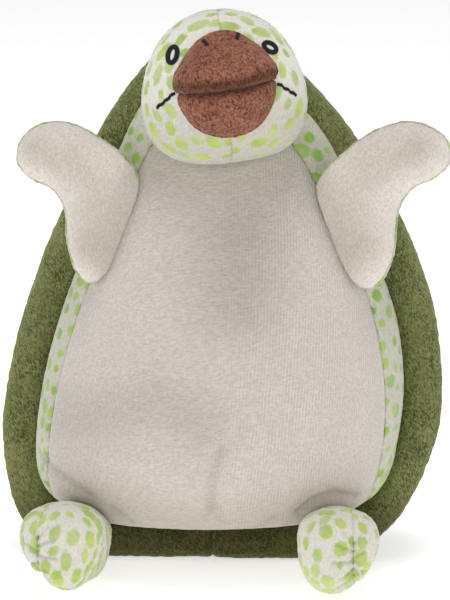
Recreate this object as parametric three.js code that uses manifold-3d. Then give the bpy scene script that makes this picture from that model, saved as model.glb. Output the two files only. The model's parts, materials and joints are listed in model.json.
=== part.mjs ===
import * as THREE from 'three';
import { mergeVertices } from 'three/addons/utils/BufferGeometryUtils.js';
import Module from 'manifold-3d';

const wasm = await Module();
wasm.setup();

// A stuffed turtle that stands on the rim of its shell and on its two feet
// Millimetres, +Z up, the toy faces -Y, and +X is the toy's own left side

// Sizes that every piece shares
const clearance = 0.3; // between neighbouring pieces
const fabric = 1.7; // plush with its backing
const flatDepth = 0.5; // how deep the soft forms are pressed flat on the floor
const overrun = 12; // how far a cutting solid runs past what it cuts
const weldTolerance = 1e-4;
const ballRows = 6;
const turnSteps = 4; // steps of a limb's turn that it is cut clear at
const seamSteps = 4; // straight steps that a seam's cut follows up the bent trunk

// Posture: the trunk leans back and bends a little to one side as it stands
const leanShare = 0.045;
const sway = { reach: 10, period: 220, centreShare: 0.65 };

// Trunk: rows are shares of its height, half width and depth
const torso = {
  bottom: 13, height: 167, halfWidth: 65, frontDepth: 48, backDepth: 30, middleY: -12.8,
  squareness: 2.2, sides: 24, backSeamDepth: 9,
  rowShares: [
    [0, 0, 0], [0.02, 0.56, 0.36], [0.055, 0.83, 0.68], [0.12, 0.97, 0.89], [0.22, 1, 1],
    [0.34, 0.985, 0.99], [0.46, 0.92, 0.92], [0.6, 0.79, 0.76], [0.75, 0.66, 0.55],
    [0.87, 0.51, 0.33], [0.95, 0.32, 0.15], [1, 0, 0],
  ],
};

// Belly panel: half outline from the bottom up, as shares of the trunk's half width and height
const bellyShares = [
  [0.66, -0.1], [0.72, 0.02], [0.86, 0.08], [0.89, 0.13], [0.905, 0.2], [0.9, 0.28], [0.875, 0.36],
  [0.83, 0.44], [0.76, 0.53], [0.67, 0.6], [0.56, 0.7], [0.45, 0.79], [0.33, 0.88], [0.2, 1.1],
];

// Shell: a padded dome with a stuffed roll round its rim
const shell = {
  height: 193.5, halfWidth: 79, depth: 44, rimY: -8, rollRadius: 6.8, recess: 2.4,
  centreShare: 0.3, squareness: 2.8, sagShare: 0.75, sides: 28, rollSteps: 3,
  outlineShares: [
    [0, 1], [0.125, 0.985], [0.24, 0.955], [0.34, 0.914], [0.44, 0.87], [0.575, 0.793],
    [0.756, 0.654], [0.86, 0.556], [0.955, 0.425], [0.998, 0.29], [0.985, 0.217], [0.94, 0.14],
    [0.86, 0.072], [0.72, 0.022], [0.52, 0.002], [0.25, 0],
  ],
  domeShares: [0.3, 0.55, 0.76, 0.92],
};

// Head: an egg that is widest in its lower half
const head = {
  halfWidth: 28.5, halfDepth: 23, halfHeight: 26.5, sides: 20, squareness: 2.1,
  aboveNeck: 23.5, beforeNeck: 10, besideNeck: -2.2, lift: 8.5, roll: 4.7, turn: 7,
  rowShares: [
    [-1, 0], [-0.93, 0.52], [-0.8, 0.77], [-0.55, 0.95], [-0.15, 1], [0.2, 0.93], [0.5, 0.8],
    [0.74, 0.62], [0.92, 0.35], [1, 0],
  ],
};
const neck = {
  radius: 12, sides: 16, height: 150, shift: 2.5, inset: 9, back: 8, forward: 12, turnSteps: 7,
};

// Beak: two padded halves, sewn on the front of the head, above and below the mouth
const beak = {
  halfWidth: 18.3, depth: 19, baseShare: 0.72, top: 18.2, mouth: -3, mouthGap: 1.2, bottom: -17.6,
  lowerWidth: 17.2, lowerDepth: 16.6, sides: 16, squareness: 2.2,
  upperShares: [
    [-0.3, 0], [-0.2, 0.98], [0, 1], [0.2, 0.96], [0.45, 0.83], [0.7, 0.65], [0.9, 0.38], [1, 0],
  ],
  lowerShares: [[0, 0], [0.08, 0.38], [0.25, 0.66], [0.55, 0.89], [0.9, 1], [1.15, 0.98], [1.3, 0]],
};

// Embroidery on the head, each stitch lying on the fabric
const thread = { proud: 0.9, width: 1.1 };
const eye = {
  across: 16.6, up: 11.6, halfWidth: 2.4, halfHeight: 3.6, ring: 1.2, points: 14, leanLeft: 45,
  leanRight: 18,
};
const nostril = { across: 5.6, up: 14.6, length: 3.2, tilt: 25 };
const mouthStitch = { across: 17.6, up: -2, length: 6.4, tilt: 28, tick: 3.2, tickTilt: 75 };

// Flippers: bent padded paddles, sewn along the seam between belly and side
const flipper = {
  reach: 46, span: 50, halfThickness: 6.8, pillow: 5.6,
  left: { reachShare: 1.06, inward: 0, drop: 2 }, right: { reachShare: 0.97, inward: 1.8, drop: 0 },
  sides: 19, proud: 1.4,
  seamLow: { across: 45.2, height: 105.5 }, seamHigh: { across: 30.2, height: 141.3 },
  beadRadius: 3, beadSides: 8, beadRows: 3, beadInset: 4, back: 6, forward: 40,
  outlineShares: [
    [-0.055, 0.24], [-0.045, 0.45], [-0.03, 0.66], [0.02, 0.8], [0.24, 0.92], [0.58, 0.985],
    [0.84, 0.92], [0.98, 0.76], [0.96, 0.59], [0.82, 0.51], [0.61, 0.485], [0.47, 0.38],
    [0.35, 0.17], [0.2, 0.015], [0.06, -0.015], [-0.03, 0.08],
  ],
  pillowShares: [[1, 1], [0.45, 0.82], [0.12, 0.46], [0, 0]],
};

// Feet: round stubs that point forward, gathered at the toe
const foot = {
  across: 44.5, shift: 1.5, radius: 13.8, height: 15.6, below: 18.5, above: 13.4, length: 36, inset: 7,
  splayOut: 8, splayTurn: 4, ballRadius: 10, ballSides: 14, sides: 12, squareness: 2.2, raise: 25, tilt: 9,
  rowShares: [
    [-0.2, 0], [-0.12, 0.62], [0.1, 0.88], [0.4, 0.99], [0.65, 1], [0.85, 0.85], [0.97, 0.5],
    [0.97, 0],
  ],
};

// Weighted bag in the seat
const bag = { halfWidth: 40, halfDepth: 26, halfHeight: 20, sides: 14, rows: 8 };

const colours = {
  shell: '#66733f', belly: '#e2d8cb', spotted: '#e6efd2', beak: '#8a594a', thread: '#17171a',
  white: '#f2f2ee', filling: '#f6f5f0', bag: '#cfc8ba',
};

const toy = new THREE.Group();
const settled = new THREE.Group();
settled.add(toy);

// Solids: closed meshes are joined and cut, then turned back into geometry
function solidOf(geometry) {
  const bare = geometry.clone();
  bare.deleteAttribute('normal');
  bare.deleteAttribute('uv');
  const merged = mergeVertices(bare, weldTolerance);
  const corners = merged.index.array;
  const triVerts = [];
  for (let i = 0; i < corners.length; i += 3) {
    const [a, b, c] = [corners[i], corners[i + 1], corners[i + 2]];
    if (a !== b && b !== c && c !== a) triVerts.push(a, b, c);
  }
  const vertProperties = merged.attributes.position.array;
  const mesh = new wasm.Mesh({ numProp: 3, vertProperties, triVerts: new Uint32Array(triVerts) });
  return new wasm.Manifold(mesh);
}

function geometryOf(solid) {
  const mesh = solid.getMesh();
  const geometry = new THREE.BufferGeometry();
  geometry.setAttribute('position', new THREE.BufferAttribute(mesh.vertProperties, 3));
  geometry.setIndex(new THREE.BufferAttribute(mesh.triVerts, 1));
  geometry.computeVertexNormals();
  return geometry;
}

const placed = (solid, matrix) => solid.transform(matrix.elements);
const cutAll = (solid, cutters) => cutters.reduce((left, cutter) => left.subtract(cutter), solid);

// The largest lump of a cut solid: slivers left by a seam fall away
function mainLump(solid) {
  const lumps = solid.decompose();
  return lumps.reduce((best, lump) => (lump.volume() > best.volume() ? lump : best));
}

function addPiece(parent, name, solid, colour, roughness = 0.95) {
  const material = new THREE.MeshStandardMaterial({ color: colour, roughness, metalness: 0 });
  const mesh = new THREE.Mesh(geometryOf(mainLump(solid)), material);
  mesh.name = name;
  parent.add(mesh);
}

// Lofts: closed skins through rings that run anticlockwise about the way they are stacked,
// where a first or last ring of several points is filled with a flat cap
function capOf(ring, start, facesFront) {
  const flat = ring.map((point) => new THREE.Vector2(point.x, point.z));
  return THREE.ShapeUtils.triangulateShape(flat, []).flatMap(([a, b, c]) => {
    const clockwise = THREE.ShapeUtils.isClockWise([flat[a], flat[b], flat[c]]);
    const corners = clockwise === facesFront ? [a, c, b] : [a, b, c];
    return corners.map((corner) => corner + start);
  });
}

function closedLoft(rings) {
  const index = [];
  let start = 0;
  rings.slice(0, -1).forEach((ring, level) => {
    const next = rings[level + 1];
    const nextStart = start + ring.length;
    const count = Math.max(ring.length, next.length);
    for (let i = 0; i < count; i++) {
      const j = (i + 1) % count;
      const low = (k) => start + (ring.length > 1 ? k : 0);
      const high = (k) => nextStart + (next.length > 1 ? k : 0);
      if (ring.length > 1) index.push(low(i), low(j), high(j));
      if (next.length > 1) index.push(low(i), high(j), high(i));
    }
    start = nextStart;
  });
  const last = rings[rings.length - 1];
  if (rings[0].length > 1) index.push(...capOf(rings[0], 0, true));
  if (last.length > 1) index.push(...capOf(last, start, false));
  const geometry = new THREE.BufferGeometry();
  geometry.setFromPoints(rings.flat());
  geometry.setIndex(index);
  return geometry;
}

// One ring of a swelling form: a rounded section whose front and back depths may differ
function sectionRing({ width, front, back, y, z, squareness, sides }) {
  const blunt = (value) => Math.sign(value) * Math.abs(value) ** (2 / squareness);
  return Array.from({ length: sides }, (_, i) => {
    const turn = 2 * Math.PI * i / sides;
    const depth = Math.sin(turn) < 0 ? front : back;
    return new THREE.Vector3(width * blunt(Math.cos(turn)), y + depth * blunt(Math.sin(turn)), z);
  });
}

// A swelling form from rows of shares: height, width and depth
function stuffedForm(sizes, rows, grow = 0) {
  const { bottom, height, halfWidth, front, back, y = 0, squareness, sides } = sizes;
  const rings = rows.map(([level, width, depth = width]) => {
    const z = bottom - grow + (height + 2 * grow) * level;
    if (width === 0) return [new THREE.Vector3(0, y, z)];
    return sectionRing({
      width: halfWidth * width + grow, front: front * depth + grow, back: back * depth + grow,
      y, z, squareness, sides,
    });
  });
  return closedLoft(rings);
}

// A ball whose poles lie on the axis that it turns about, so that its facets stay clear
function ball(radius, sides) {
  return solidOf(new THREE.SphereGeometry(radius, sides, ballRows).rotateZ(Math.PI / 2));
}

function slab(width, depth, height, x, y, z, heightSegments = 1) {
  const geometry = new THREE.BoxGeometry(width, depth, height, 1, 1, heightSegments);
  return geometry.translate(x, y, z);
}

// The posture, put on geometry that is modelled upright
const swayAt = (z) => sway.reach * (Math.sin(Math.PI * z / sway.period) - sway.centreShare);

function postured(geometry) {
  const points = geometry.attributes.position;
  for (let i = 0; i < points.count; i++) {
    const z = points.getZ(i);
    points.setX(i, points.getX(i) + swayAt(z));
    points.setY(i, points.getY(i) + leanShare * z);
  }
  return geometry;
}

function torsoForm(grow) {
  const { bottom, height, halfWidth, squareness, sides } = torso;
  const sizes = {
    bottom, height, halfWidth, front: torso.frontDepth, back: torso.backDepth, y: torso.middleY,
    squareness, sides,
  };
  return solidOf(postured(stuffedForm(sizes, torso.rowShares, grow)));
}

// Where the trunk's front surface lies at a distance across and a height
function torsoFrontAt(across, height) {
  const level = (height - torso.bottom) / torso.height;
  const above = torso.rowShares.findIndex((row) => row[0] > level);
  const [low, high] = [torso.rowShares[above - 1], torso.rowShares[above]];
  const share = (level - low[0]) / (high[0] - low[0]);
  const width = torso.halfWidth * THREE.MathUtils.lerp(low[1], high[1], share);
  const depth = torso.frontDepth * THREE.MathUtils.lerp(low[2], high[2], share);
  const left = 1 - Math.min(1, across / width) ** torso.squareness;
  return torso.middleY + leanShare * height - depth * left ** (1 / torso.squareness);
}

// Front to back prism through the belly's outline
function bellyPrism(margin) {
  const half = bellyShares.map(([x, z]) => new THREE.Vector2(
    torso.halfWidth * x + margin, torso.bottom + torso.height * z));
  const mirrored = half.map((point) => new THREE.Vector2(-point.x, point.y)).reverse();
  const shape = new THREE.Shape([...half, ...mirrored]);
  const depth = torso.frontDepth + 2 * overrun;
  const geometry = new THREE.ExtrudeGeometry(shape, { depth, bevelEnabled: false });
  geometry.rotateX(Math.PI / 2);
  return solidOf(postured(geometry.translate(0, torso.middleY + overrun, 0)));
}

// Slab behind the seam where the hidden back panel starts
function backSlab(margin) {
  const y = torso.middleY + torso.backSeamDepth - margin;
  const depth = torso.backDepth + overrun;
  const geometry = slab(
    2 * (torso.halfWidth + overrun), depth, torso.height + 2 * overrun,
    0, y + depth / 2, torso.bottom + torso.height / 2, seamSteps);
  return solidOf(postured(geometry));
}

// Slab on one side of the middle seam: side is 1 for the toy's left and -1 for its right
function sideSlab(side) {
  const width = shell.halfWidth + overrun;
  const geometry = slab(
    width, 2 * (shell.depth + overrun), shell.height + 2 * overrun,
    side * (width + clearance) / 2, 0, shell.height / 2, seamSteps);
  return solidOf(postured(geometry));
}

// The shell's outline, clockwise from the front, drawn in by a distance all round
function shellOutline(inset) {
  const half = shell.outlineShares.map(([x, z]) => new THREE.Vector3(
    shell.halfWidth * x, 0, shell.height * z - flatDepth));
  const mirrored = half.slice(1).reverse().map((point) => new THREE.Vector3(-point.x, 0, point.z));
  const curve = new THREE.CatmullRomCurve3([...half, ...mirrored], true);
  const points = curve.getSpacedPoints(shell.sides).slice(0, shell.sides);
  return points.map((point, i) => {
    const ahead = points[(i + 1) % points.length];
    const behind = points[(i + points.length - 1) % points.length];
    const along = ahead.clone().sub(behind).normalize();
    return new THREE.Vector3(point.x + along.z * inset, 0, point.z - along.x * inset);
  });
}

// Below the dome's centre the rings draw in more slowly, as the shell sits down on its underside
function shellRing(inset, y, scale = 1) {
  const centre = shell.height * shell.centreShare;
  const lowScale = 1 - (1 - scale) * shell.sagShare;
  return shellOutline(inset).map((point) => {
    const rise = point.z - centre;
    const z = centre + rise * (rise < 0 ? lowScale : scale);
    return new THREE.Vector3(point.x * scale, shell.rimY + y, z);
  });
}

function shellForm(grow) {
  const centre = shell.height * shell.centreShare;
  const radius = shell.rollRadius + grow;
  const depth = shell.depth + grow;
  const rings = [[new THREE.Vector3(0, shell.rimY + shell.recess - grow, centre)]];
  rings.push(shellRing(shell.rollRadius + radius, shell.recess - grow));
  for (let step = shell.rollSteps; step >= 0; step--) {
    const turn = Math.PI * step / shell.rollSteps;
    rings.push(shellRing(shell.rollRadius - radius * Math.cos(turn), -radius * Math.sin(turn)));
  }
  for (const share of shell.domeShares) {
    const scale = (1 - share ** shell.squareness) ** (1 / shell.squareness);
    rings.push(shellRing(-grow, depth * share, scale));
  }
  rings.push([new THREE.Vector3(0, shell.rimY + depth, centre)]);
  return solidOf(postured(closedLoft(rings)));
}

// A limb is cut clear of the trunk at every angle that it turns through
function clearOf(obstacles, form, limb, { axis, lowest, highest, steps = turnSteps }) {
  const intoLimb = limb.matrixWorld.clone().invert();
  const { degToRad, lerp } = THREE.MathUtils;
  let left = form;
  for (let i = 0; i <= steps; i++) {
    const angle = degToRad(lerp(lowest, highest, i / steps));
    const turned = new THREE.Matrix4().makeRotationAxis(axis, -angle).multiply(intoLimb);
    left = cutAll(left, obstacles.map((obstacle) => placed(obstacle, turned)));
  }
  return left;
}

function groupAt(position) {
  const group = new THREE.Group();
  group.position.copy(position);
  toy.add(group);
  return group;
}

// Where each limb turns
const limbs = {};

function placeHead() {
  const y = torsoFrontAt(0, neck.height) + neck.inset;
  const pivot = groupAt(new THREE.Vector3(swayAt(neck.height) + neck.shift, y, neck.height));
  const skull = new THREE.Group();
  const { degToRad } = THREE.MathUtils;
  skull.rotation.set(-degToRad(head.lift), degToRad(-head.roll), degToRad(head.turn), 'ZYX');
  skull.position.set(head.besideNeck, -head.beforeNeck, head.aboveNeck);
  pivot.add(skull);
  limbs.neck = pivot;
  limbs.skull = skull;
}

function placeFlipper(side) {
  const [low, high] = [flipper.seamLow, flipper.seamHigh].map(({ across, height }) => new THREE.Vector3(
    side * across + swayAt(height), torsoFrontAt(across, height) - flipper.proud, height));
  const along = high.clone().sub(low).normalize();
  const back = new THREE.Vector3(0, 1, 0);
  back.addScaledVector(along, -along.y).normalize();
  const out = back.clone().cross(along);
  const group = groupAt(low);
  group.quaternion.setFromRotationMatrix(new THREE.Matrix4().makeBasis(out, back, along));
  group.userData.seamLength = high.distanceTo(low);
  limbs[side > 0 ? 'flipper_left' : 'flipper_right'] = group;
}

function placeFoot(side) {
  const x = side * foot.across + foot.shift + swayAt(foot.height);
  const y = torsoFrontAt(foot.across, 2 * foot.height) + foot.inset;
  const group = groupAt(new THREE.Vector3(x, y, foot.height));
  group.rotation.z = THREE.MathUtils.degToRad(side * foot.splayOut - foot.splayTurn);
  limbs[side > 0 ? 'foot_left' : 'foot_right'] = group;
}

// Rounded bead along a flipper's seam, which turns in a groove of the trunk
function seamBead(length, grow) {
  const straight = length - 2 * flipper.beadInset;
  const geometry = new THREE.CapsuleGeometry(
    flipper.beadRadius + grow, straight, flipper.beadRows, flipper.beadSides);
  return solidOf(geometry.rotateX(Math.PI / 2).translate(0, 0, length / 2));
}

// Sockets in the trunk for the roots of the head, flippers and feet
function trunkSockets() {
  const flippers = [limbs.flipper_left, limbs.flipper_right].map((limb) => placed(
    seamBead(limb.userData.seamLength, clearance), limb.matrixWorld));
  const feet = [limbs.foot_left, limbs.foot_right].map((limb) => placed(
    ball(foot.ballRadius + clearance, foot.ballSides), limb.matrixWorld));
  const nape = placed(ball(neck.radius + clearance, neck.sides), limbs.neck.matrixWorld);
  return [...flippers, ...feet, nape];
}

function buildTrunk() {
  const sockets = trunkSockets();
  const skin = cutAll(torsoForm(0).subtract(torsoForm(-fabric)), sockets);
  const belly = bellyPrism(0);
  const bellySeam = bellyPrism(clearance);
  const back = backSlab(0);
  const backSeam = backSlab(clearance);
  const front = skin.subtract(backSeam);
  addPiece(toy, 'belly_panel', front.intersect(belly), colours.belly);
  const sides = front.subtract(bellySeam);
  addPiece(toy, 'side_panel_left', sides.intersect(sideSlab(1)), colours.spotted);
  addPiece(toy, 'side_panel_right', sides.intersect(sideSlab(-1)), colours.spotted);
  addPiece(toy, 'back_panel', skin.intersect(back), colours.spotted);

  const core = cutAll(torsoForm(-fabric - clearance), sockets);
  const scoop = (grow) => {
    const geometry = new THREE.SphereGeometry(1, bag.sides, bag.rows);
    geometry.scale(bag.halfWidth + grow, bag.halfDepth + grow, bag.halfHeight + grow);
    return solidOf(postured(geometry.translate(0, torso.middleY, torso.bottom)));
  };
  addPiece(toy, 'pellet_bag', core.intersect(scoop(0)), colours.bag);
  addPiece(toy, 'body_stuffing', core.subtract(scoop(clearance)), colours.filling);
}

function buildShell() {
  const room = torsoForm(clearance);
  const height = flatDepth + overrun;
  const floor = solidOf(slab(
    2 * (shell.halfWidth + overrun), 2 * (shell.depth + overrun), height, 0, 0, -height / 2));
  const skin = cutAll(shellForm(0), [shellForm(-fabric), room, floor]);
  addPiece(toy, 'shell_panel_left', skin.intersect(sideSlab(1)), colours.shell);
  addPiece(toy, 'shell_panel_right', skin.intersect(sideSlab(-1)), colours.shell);
  addPiece(toy, 'shell_padding', shellForm(-fabric - clearance).subtract(room), colours.filling);
}

function skullForm(grow) {
  const { squareness, sides } = head;
  const sizes = {
    bottom: 0, height: head.halfHeight, halfWidth: head.halfWidth, front: head.halfDepth,
    back: head.halfDepth, squareness, sides,
  };
  const geometry = stuffedForm(sizes, head.rowShares);
  geometry.scale(1 + grow / head.halfWidth, 1 + grow / head.halfDepth, 1 + grow / head.halfHeight);
  return solidOf(geometry);
}

function beakHalf(rows, halfWidth, depth, from, to) {
  const y = -head.halfDepth * beak.baseShare;
  const { squareness, sides } = beak;
  const sizes = {
    bottom: from, height: to - from, halfWidth, front: depth, back: depth, y, squareness, sides,
  };
  return solidOf(stuffedForm(sizes, rows)).subtract(skullForm(clearance));
}

// Slab over or under the mouth line
function mouthSlab(side) {
  const height = head.halfHeight + overrun;
  const z = beak.mouth + side * (height + beak.mouthGap) / 2;
  return solidOf(slab(2 * head.halfWidth, 4 * head.halfDepth, height, 0, 0, z));
}

// A flat figure on the face, pressed through to the layer that lies on a form
function stitched(shape, layer) {
  const depth = 3 * head.halfDepth;
  const geometry = new THREE.ExtrudeGeometry(shape, { depth, bevelEnabled: false });
  return layer.intersect(solidOf(geometry.rotateX(Math.PI / 2)));
}

function ovalPoints(side, halfWidth, halfHeight) {
  const lean = THREE.MathUtils.degToRad(side > 0 ? eye.leanLeft : -eye.leanRight);
  return Array.from({ length: eye.points }, (_, i) => {
    const turn = 2 * Math.PI * i / eye.points;
    const point = new THREE.Vector2(halfWidth * Math.cos(turn), halfHeight * Math.sin(turn));
    point.rotateAround(new THREE.Vector2(), lean);
    return point.add(new THREE.Vector2(side * eye.across, eye.up));
  });
}

// A straight stitch as a flat outline, from its middle, its length and its slope
function stitchShape(x, z, length, tilt) {
  const turn = THREE.MathUtils.degToRad(tilt);
  const along = new THREE.Vector2(Math.cos(turn), Math.sin(turn)).multiplyScalar(length / 2);
  const across = new THREE.Vector2(-Math.sin(turn), Math.cos(turn)).multiplyScalar(thread.width / 2);
  const middle = new THREE.Vector2(x, z);
  const corners = [[1, 1], [-1, 1], [-1, -1], [1, -1]].map(([a, b]) => middle.clone()
    .addScaledVector(along, a).addScaledVector(across, b));
  return new THREE.Shape(corners);
}

function buildFace(skull, upperBeak) {
  const onSkull = skullForm(clearance + thread.proud).subtract(skullForm(clearance));
  for (const side of [1, -1]) {
    const hand = side > 0 ? 'left' : 'right';
    const inner = { width: eye.halfWidth - eye.ring, height: eye.halfHeight - eye.ring };
    const ring = new THREE.Shape(ovalPoints(side, eye.halfWidth, eye.halfHeight));
    ring.holes.push(new THREE.Path(ovalPoints(side, inner.width, inner.height)));
    const spot = new THREE.Shape(ovalPoints(side, inner.width - clearance, inner.height - clearance));
    addPiece(skull, `eye_ring_${hand}`, stitched(ring, onSkull), colours.thread);
    addPiece(skull, `eye_spot_${hand}`, stitched(spot, onSkull), colours.white);

    const line = stitchShape(
      side * (mouthStitch.across + mouthStitch.length / 2), mouthStitch.up - mouthStitch.length / 4,
      mouthStitch.length, -side * mouthStitch.tilt);
    const tick = stitchShape(
      side * (mouthStitch.across + mouthStitch.length), mouthStitch.up - mouthStitch.length / 2,
      mouthStitch.tick, side * mouthStitch.tickTilt);
    const strokes = stitched(line, onSkull).add(stitched(tick, onSkull));
    addPiece(skull, `mouth_stitch_${hand}`, strokes.subtract(upperBeak.near), colours.thread);

    const hole = stitchShape(side * nostril.across, nostril.up, nostril.length, side * nostril.tilt);
    addPiece(skull, `nostril_stitch_${hand}`, stitched(hole, upperBeak.layer), colours.thread);
  }
}

function buildHead() {
  const { neck: pivot, skull } = limbs;
  const intoSkull = skull.matrix.clone().invert();
  const hinge = {
    axis: new THREE.Vector3(1, 0, 0), lowest: -neck.back, highest: neck.forward, steps: neck.turnSteps,
  };
  const obstacles = [torsoForm(clearance), shellForm(clearance)];
  const clearedForm = (form) => placed(
    clearOf(obstacles, placed(form, skull.matrix), pivot, hinge), intoSkull);
  const plug = (grow) => placed(ball(neck.radius + grow, neck.sides), intoSkull);
  const skin = clearedForm(skullForm(0).subtract(skullForm(-fabric))).subtract(plug(clearance));
  const half = (side) => solidOf(slab(
    head.halfWidth + overrun, 4 * head.halfDepth, 4 * head.halfHeight,
    side * (head.halfWidth + overrun + clearance) / 2, 0, 0));
  addPiece(skull, 'head_panel_left', skin.intersect(half(1)), colours.spotted);
  addPiece(skull, 'head_panel_right', skin.intersect(half(-1)), colours.spotted);
  const filling = clearedForm(skullForm(-fabric - clearance)).add(plug(0));
  addPiece(skull, 'head_stuffing', filling, colours.filling);

  const upper = (grow) => beakHalf(
    beak.upperShares, beak.halfWidth + grow, beak.depth + grow, beak.mouth, beak.top + grow);
  const lower = beakHalf(beak.lowerShares, beak.lowerWidth, beak.lowerDepth, beak.bottom, beak.mouth);
  addPiece(skull, 'beak_upper', upper(0).intersect(mouthSlab(1)), colours.beak);
  addPiece(skull, 'beak_lower', lower.intersect(mouthSlab(-1)), colours.beak);
  const layer = upper(clearance + thread.proud).subtract(upper(clearance));
  buildFace(skull, { near: upper(clearance), layer });
}

function flipperOutline(side, inset) {
  const { reachShare, inward, drop } = side > 0 ? flipper.left : flipper.right;
  const controls = flipper.outlineShares.map(([x, z]) => new THREE.Vector3(
    side * (reachShare * flipper.reach * x - inward), 0, flipper.span * z - drop));
  if (side < 0) controls.reverse();
  const curve = new THREE.CatmullRomCurve3(controls, true);
  const points = curve.getSpacedPoints(flipper.sides).slice(0, flipper.sides);
  return points.map((point, i) => {
    const ahead = points[(i + 1) % points.length];
    const behind = points[(i + points.length - 1) % points.length];
    const along = ahead.clone().sub(behind).normalize();
    return new THREE.Vector3(point.x + along.z * inset, 0, point.z - along.x * inset);
  });
}

function flipperForm(side, grow) {
  const half = flipper.halfThickness + grow;
  const ring = ([insetShare, heightShare], facing) => {
    const inset = flipper.pillow * insetShare - grow * (1 - insetShare);
    return flipperOutline(side, inset).map((point) => point.setY(facing * half * heightShare));
  };
  const front = flipper.pillowShares.map((row) => ring(row, -1));
  const back = flipper.pillowShares.slice(0, -1).reverse().map((row) => ring(row, 1));
  return solidOf(closedLoft([...front, ...back]));
}

function buildFlipper(side) {
  const hand = side > 0 ? 'left' : 'right';
  const limb = limbs[`flipper_${hand}`];
  const { back, forward } = flipper;
  const [lowest, highest] = side > 0 ? [-forward, back] : [-back, forward];
  const hinge = { axis: new THREE.Vector3(0, 0, 1), lowest, highest };
  const clearedForm = (form) => clearOf([torsoForm(clearance)], form, limb, hinge);
  const length = limb.userData.seamLength;
  const hollow = flipperForm(side, 0).subtract(flipperForm(side, -fabric));
  const skin = clearedForm(hollow).subtract(seamBead(length, clearance));
  const half = (facing) => solidOf(slab(
    4 * flipper.reach, flipper.halfThickness + overrun, 4 * flipper.span,
    0, facing * (flipper.halfThickness + overrun + clearance) / 2, 0));
  addPiece(limb, `flipper_${hand}_front`, skin.intersect(half(-1)), colours.belly);
  addPiece(limb, `flipper_${hand}_back`, skin.intersect(half(1)), colours.spotted);
  const filling = clearedForm(flipperForm(side, -fabric - clearance)).add(seamBead(length, 0));
  addPiece(limb, `flipper_${hand}_stuffing`, filling, colours.filling);
}

function footForm(grow) {
  const { radius, below, above, length, squareness, sides } = foot;
  const sizes = {
    bottom: 0, height: length, halfWidth: radius, front: below, back: above, squareness, sides,
  };
  const lying = stuffedForm(sizes, foot.rowShares, grow).rotateX(Math.PI / 2);
  return solidOf(lying.rotateX(-THREE.MathUtils.degToRad(foot.tilt)));
}

function buildFoot(side) {
  const hand = side > 0 ? 'left' : 'right';
  const limb = limbs[`foot_${hand}`];
  const hinge = { axis: new THREE.Vector3(1, 0, 0), lowest: -foot.raise, highest: 0 };
  const clearedForm = (form) => clearOf([torsoForm(clearance)], form, limb, hinge);
  const depth = foot.length + overrun;
  const floor = solidOf(slab(
    4 * foot.radius, 4 * depth, overrun, 0, 0, -foot.height - overrun / 2));
  const hollow = footForm(0).subtract(footForm(-fabric));
  const skin = clearedForm(hollow).subtract(floor)
    .subtract(ball(foot.ballRadius + clearance, foot.ballSides));
  const half = (facing) => solidOf(slab(
    foot.radius + overrun, 4 * depth, 4 * foot.below,
    facing * (foot.radius + overrun + clearance) / 2, 0, 0));
  addPiece(limb, `foot_${hand}_outer`, skin.intersect(half(side)), colours.spotted);
  addPiece(limb, `foot_${hand}_inner`, skin.intersect(half(-side)), colours.spotted);
  const filling = clearedForm(footForm(-fabric - clearance)).add(ball(foot.ballRadius, foot.ballSides));
  addPiece(limb, `foot_${hand}_stuffing`, filling, colours.filling);
}

placeHead();
for (const side of [1, -1]) {
  placeFlipper(side);
  placeFoot(side);
}
toy.updateMatrixWorld(true);
buildTrunk();
buildShell();
buildHead();
for (const side of [1, -1]) {
  buildFlipper(side);
  buildFoot(side);
}

// The part's origin: the middle of its footprint, on the floor
const box = new THREE.Box3().setFromObject(toy, true);
const middle = box.getCenter(new THREE.Vector3());
toy.position.set(-middle.x, -middle.y, -box.min.z);
settled.updateMatrixWorld(true);

export default settled;
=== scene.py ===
"""Looks of a stuffed turtle that stands on the rim of its shell and on its two feet.

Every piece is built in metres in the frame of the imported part. The trunk and the shell are shaped
upright and then settled into the toy's posture. The head, flippers and feet are shaped in frames
that are read from the part's joints.
"""

from __future__ import annotations

import json
import logging
import math
from dataclasses import dataclass, field
from enum import Enum
from typing import Any, Callable, Sequence

import bmesh
import bpy
import numpy as np
from bmesh.types import BMesh, BMVert
from bpy.types import Material, Object
from mathutils import Euler, Matrix, Vector, noise
from mathutils.bvhtree import BVHTree
from mathutils.kdtree import KDTree

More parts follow.
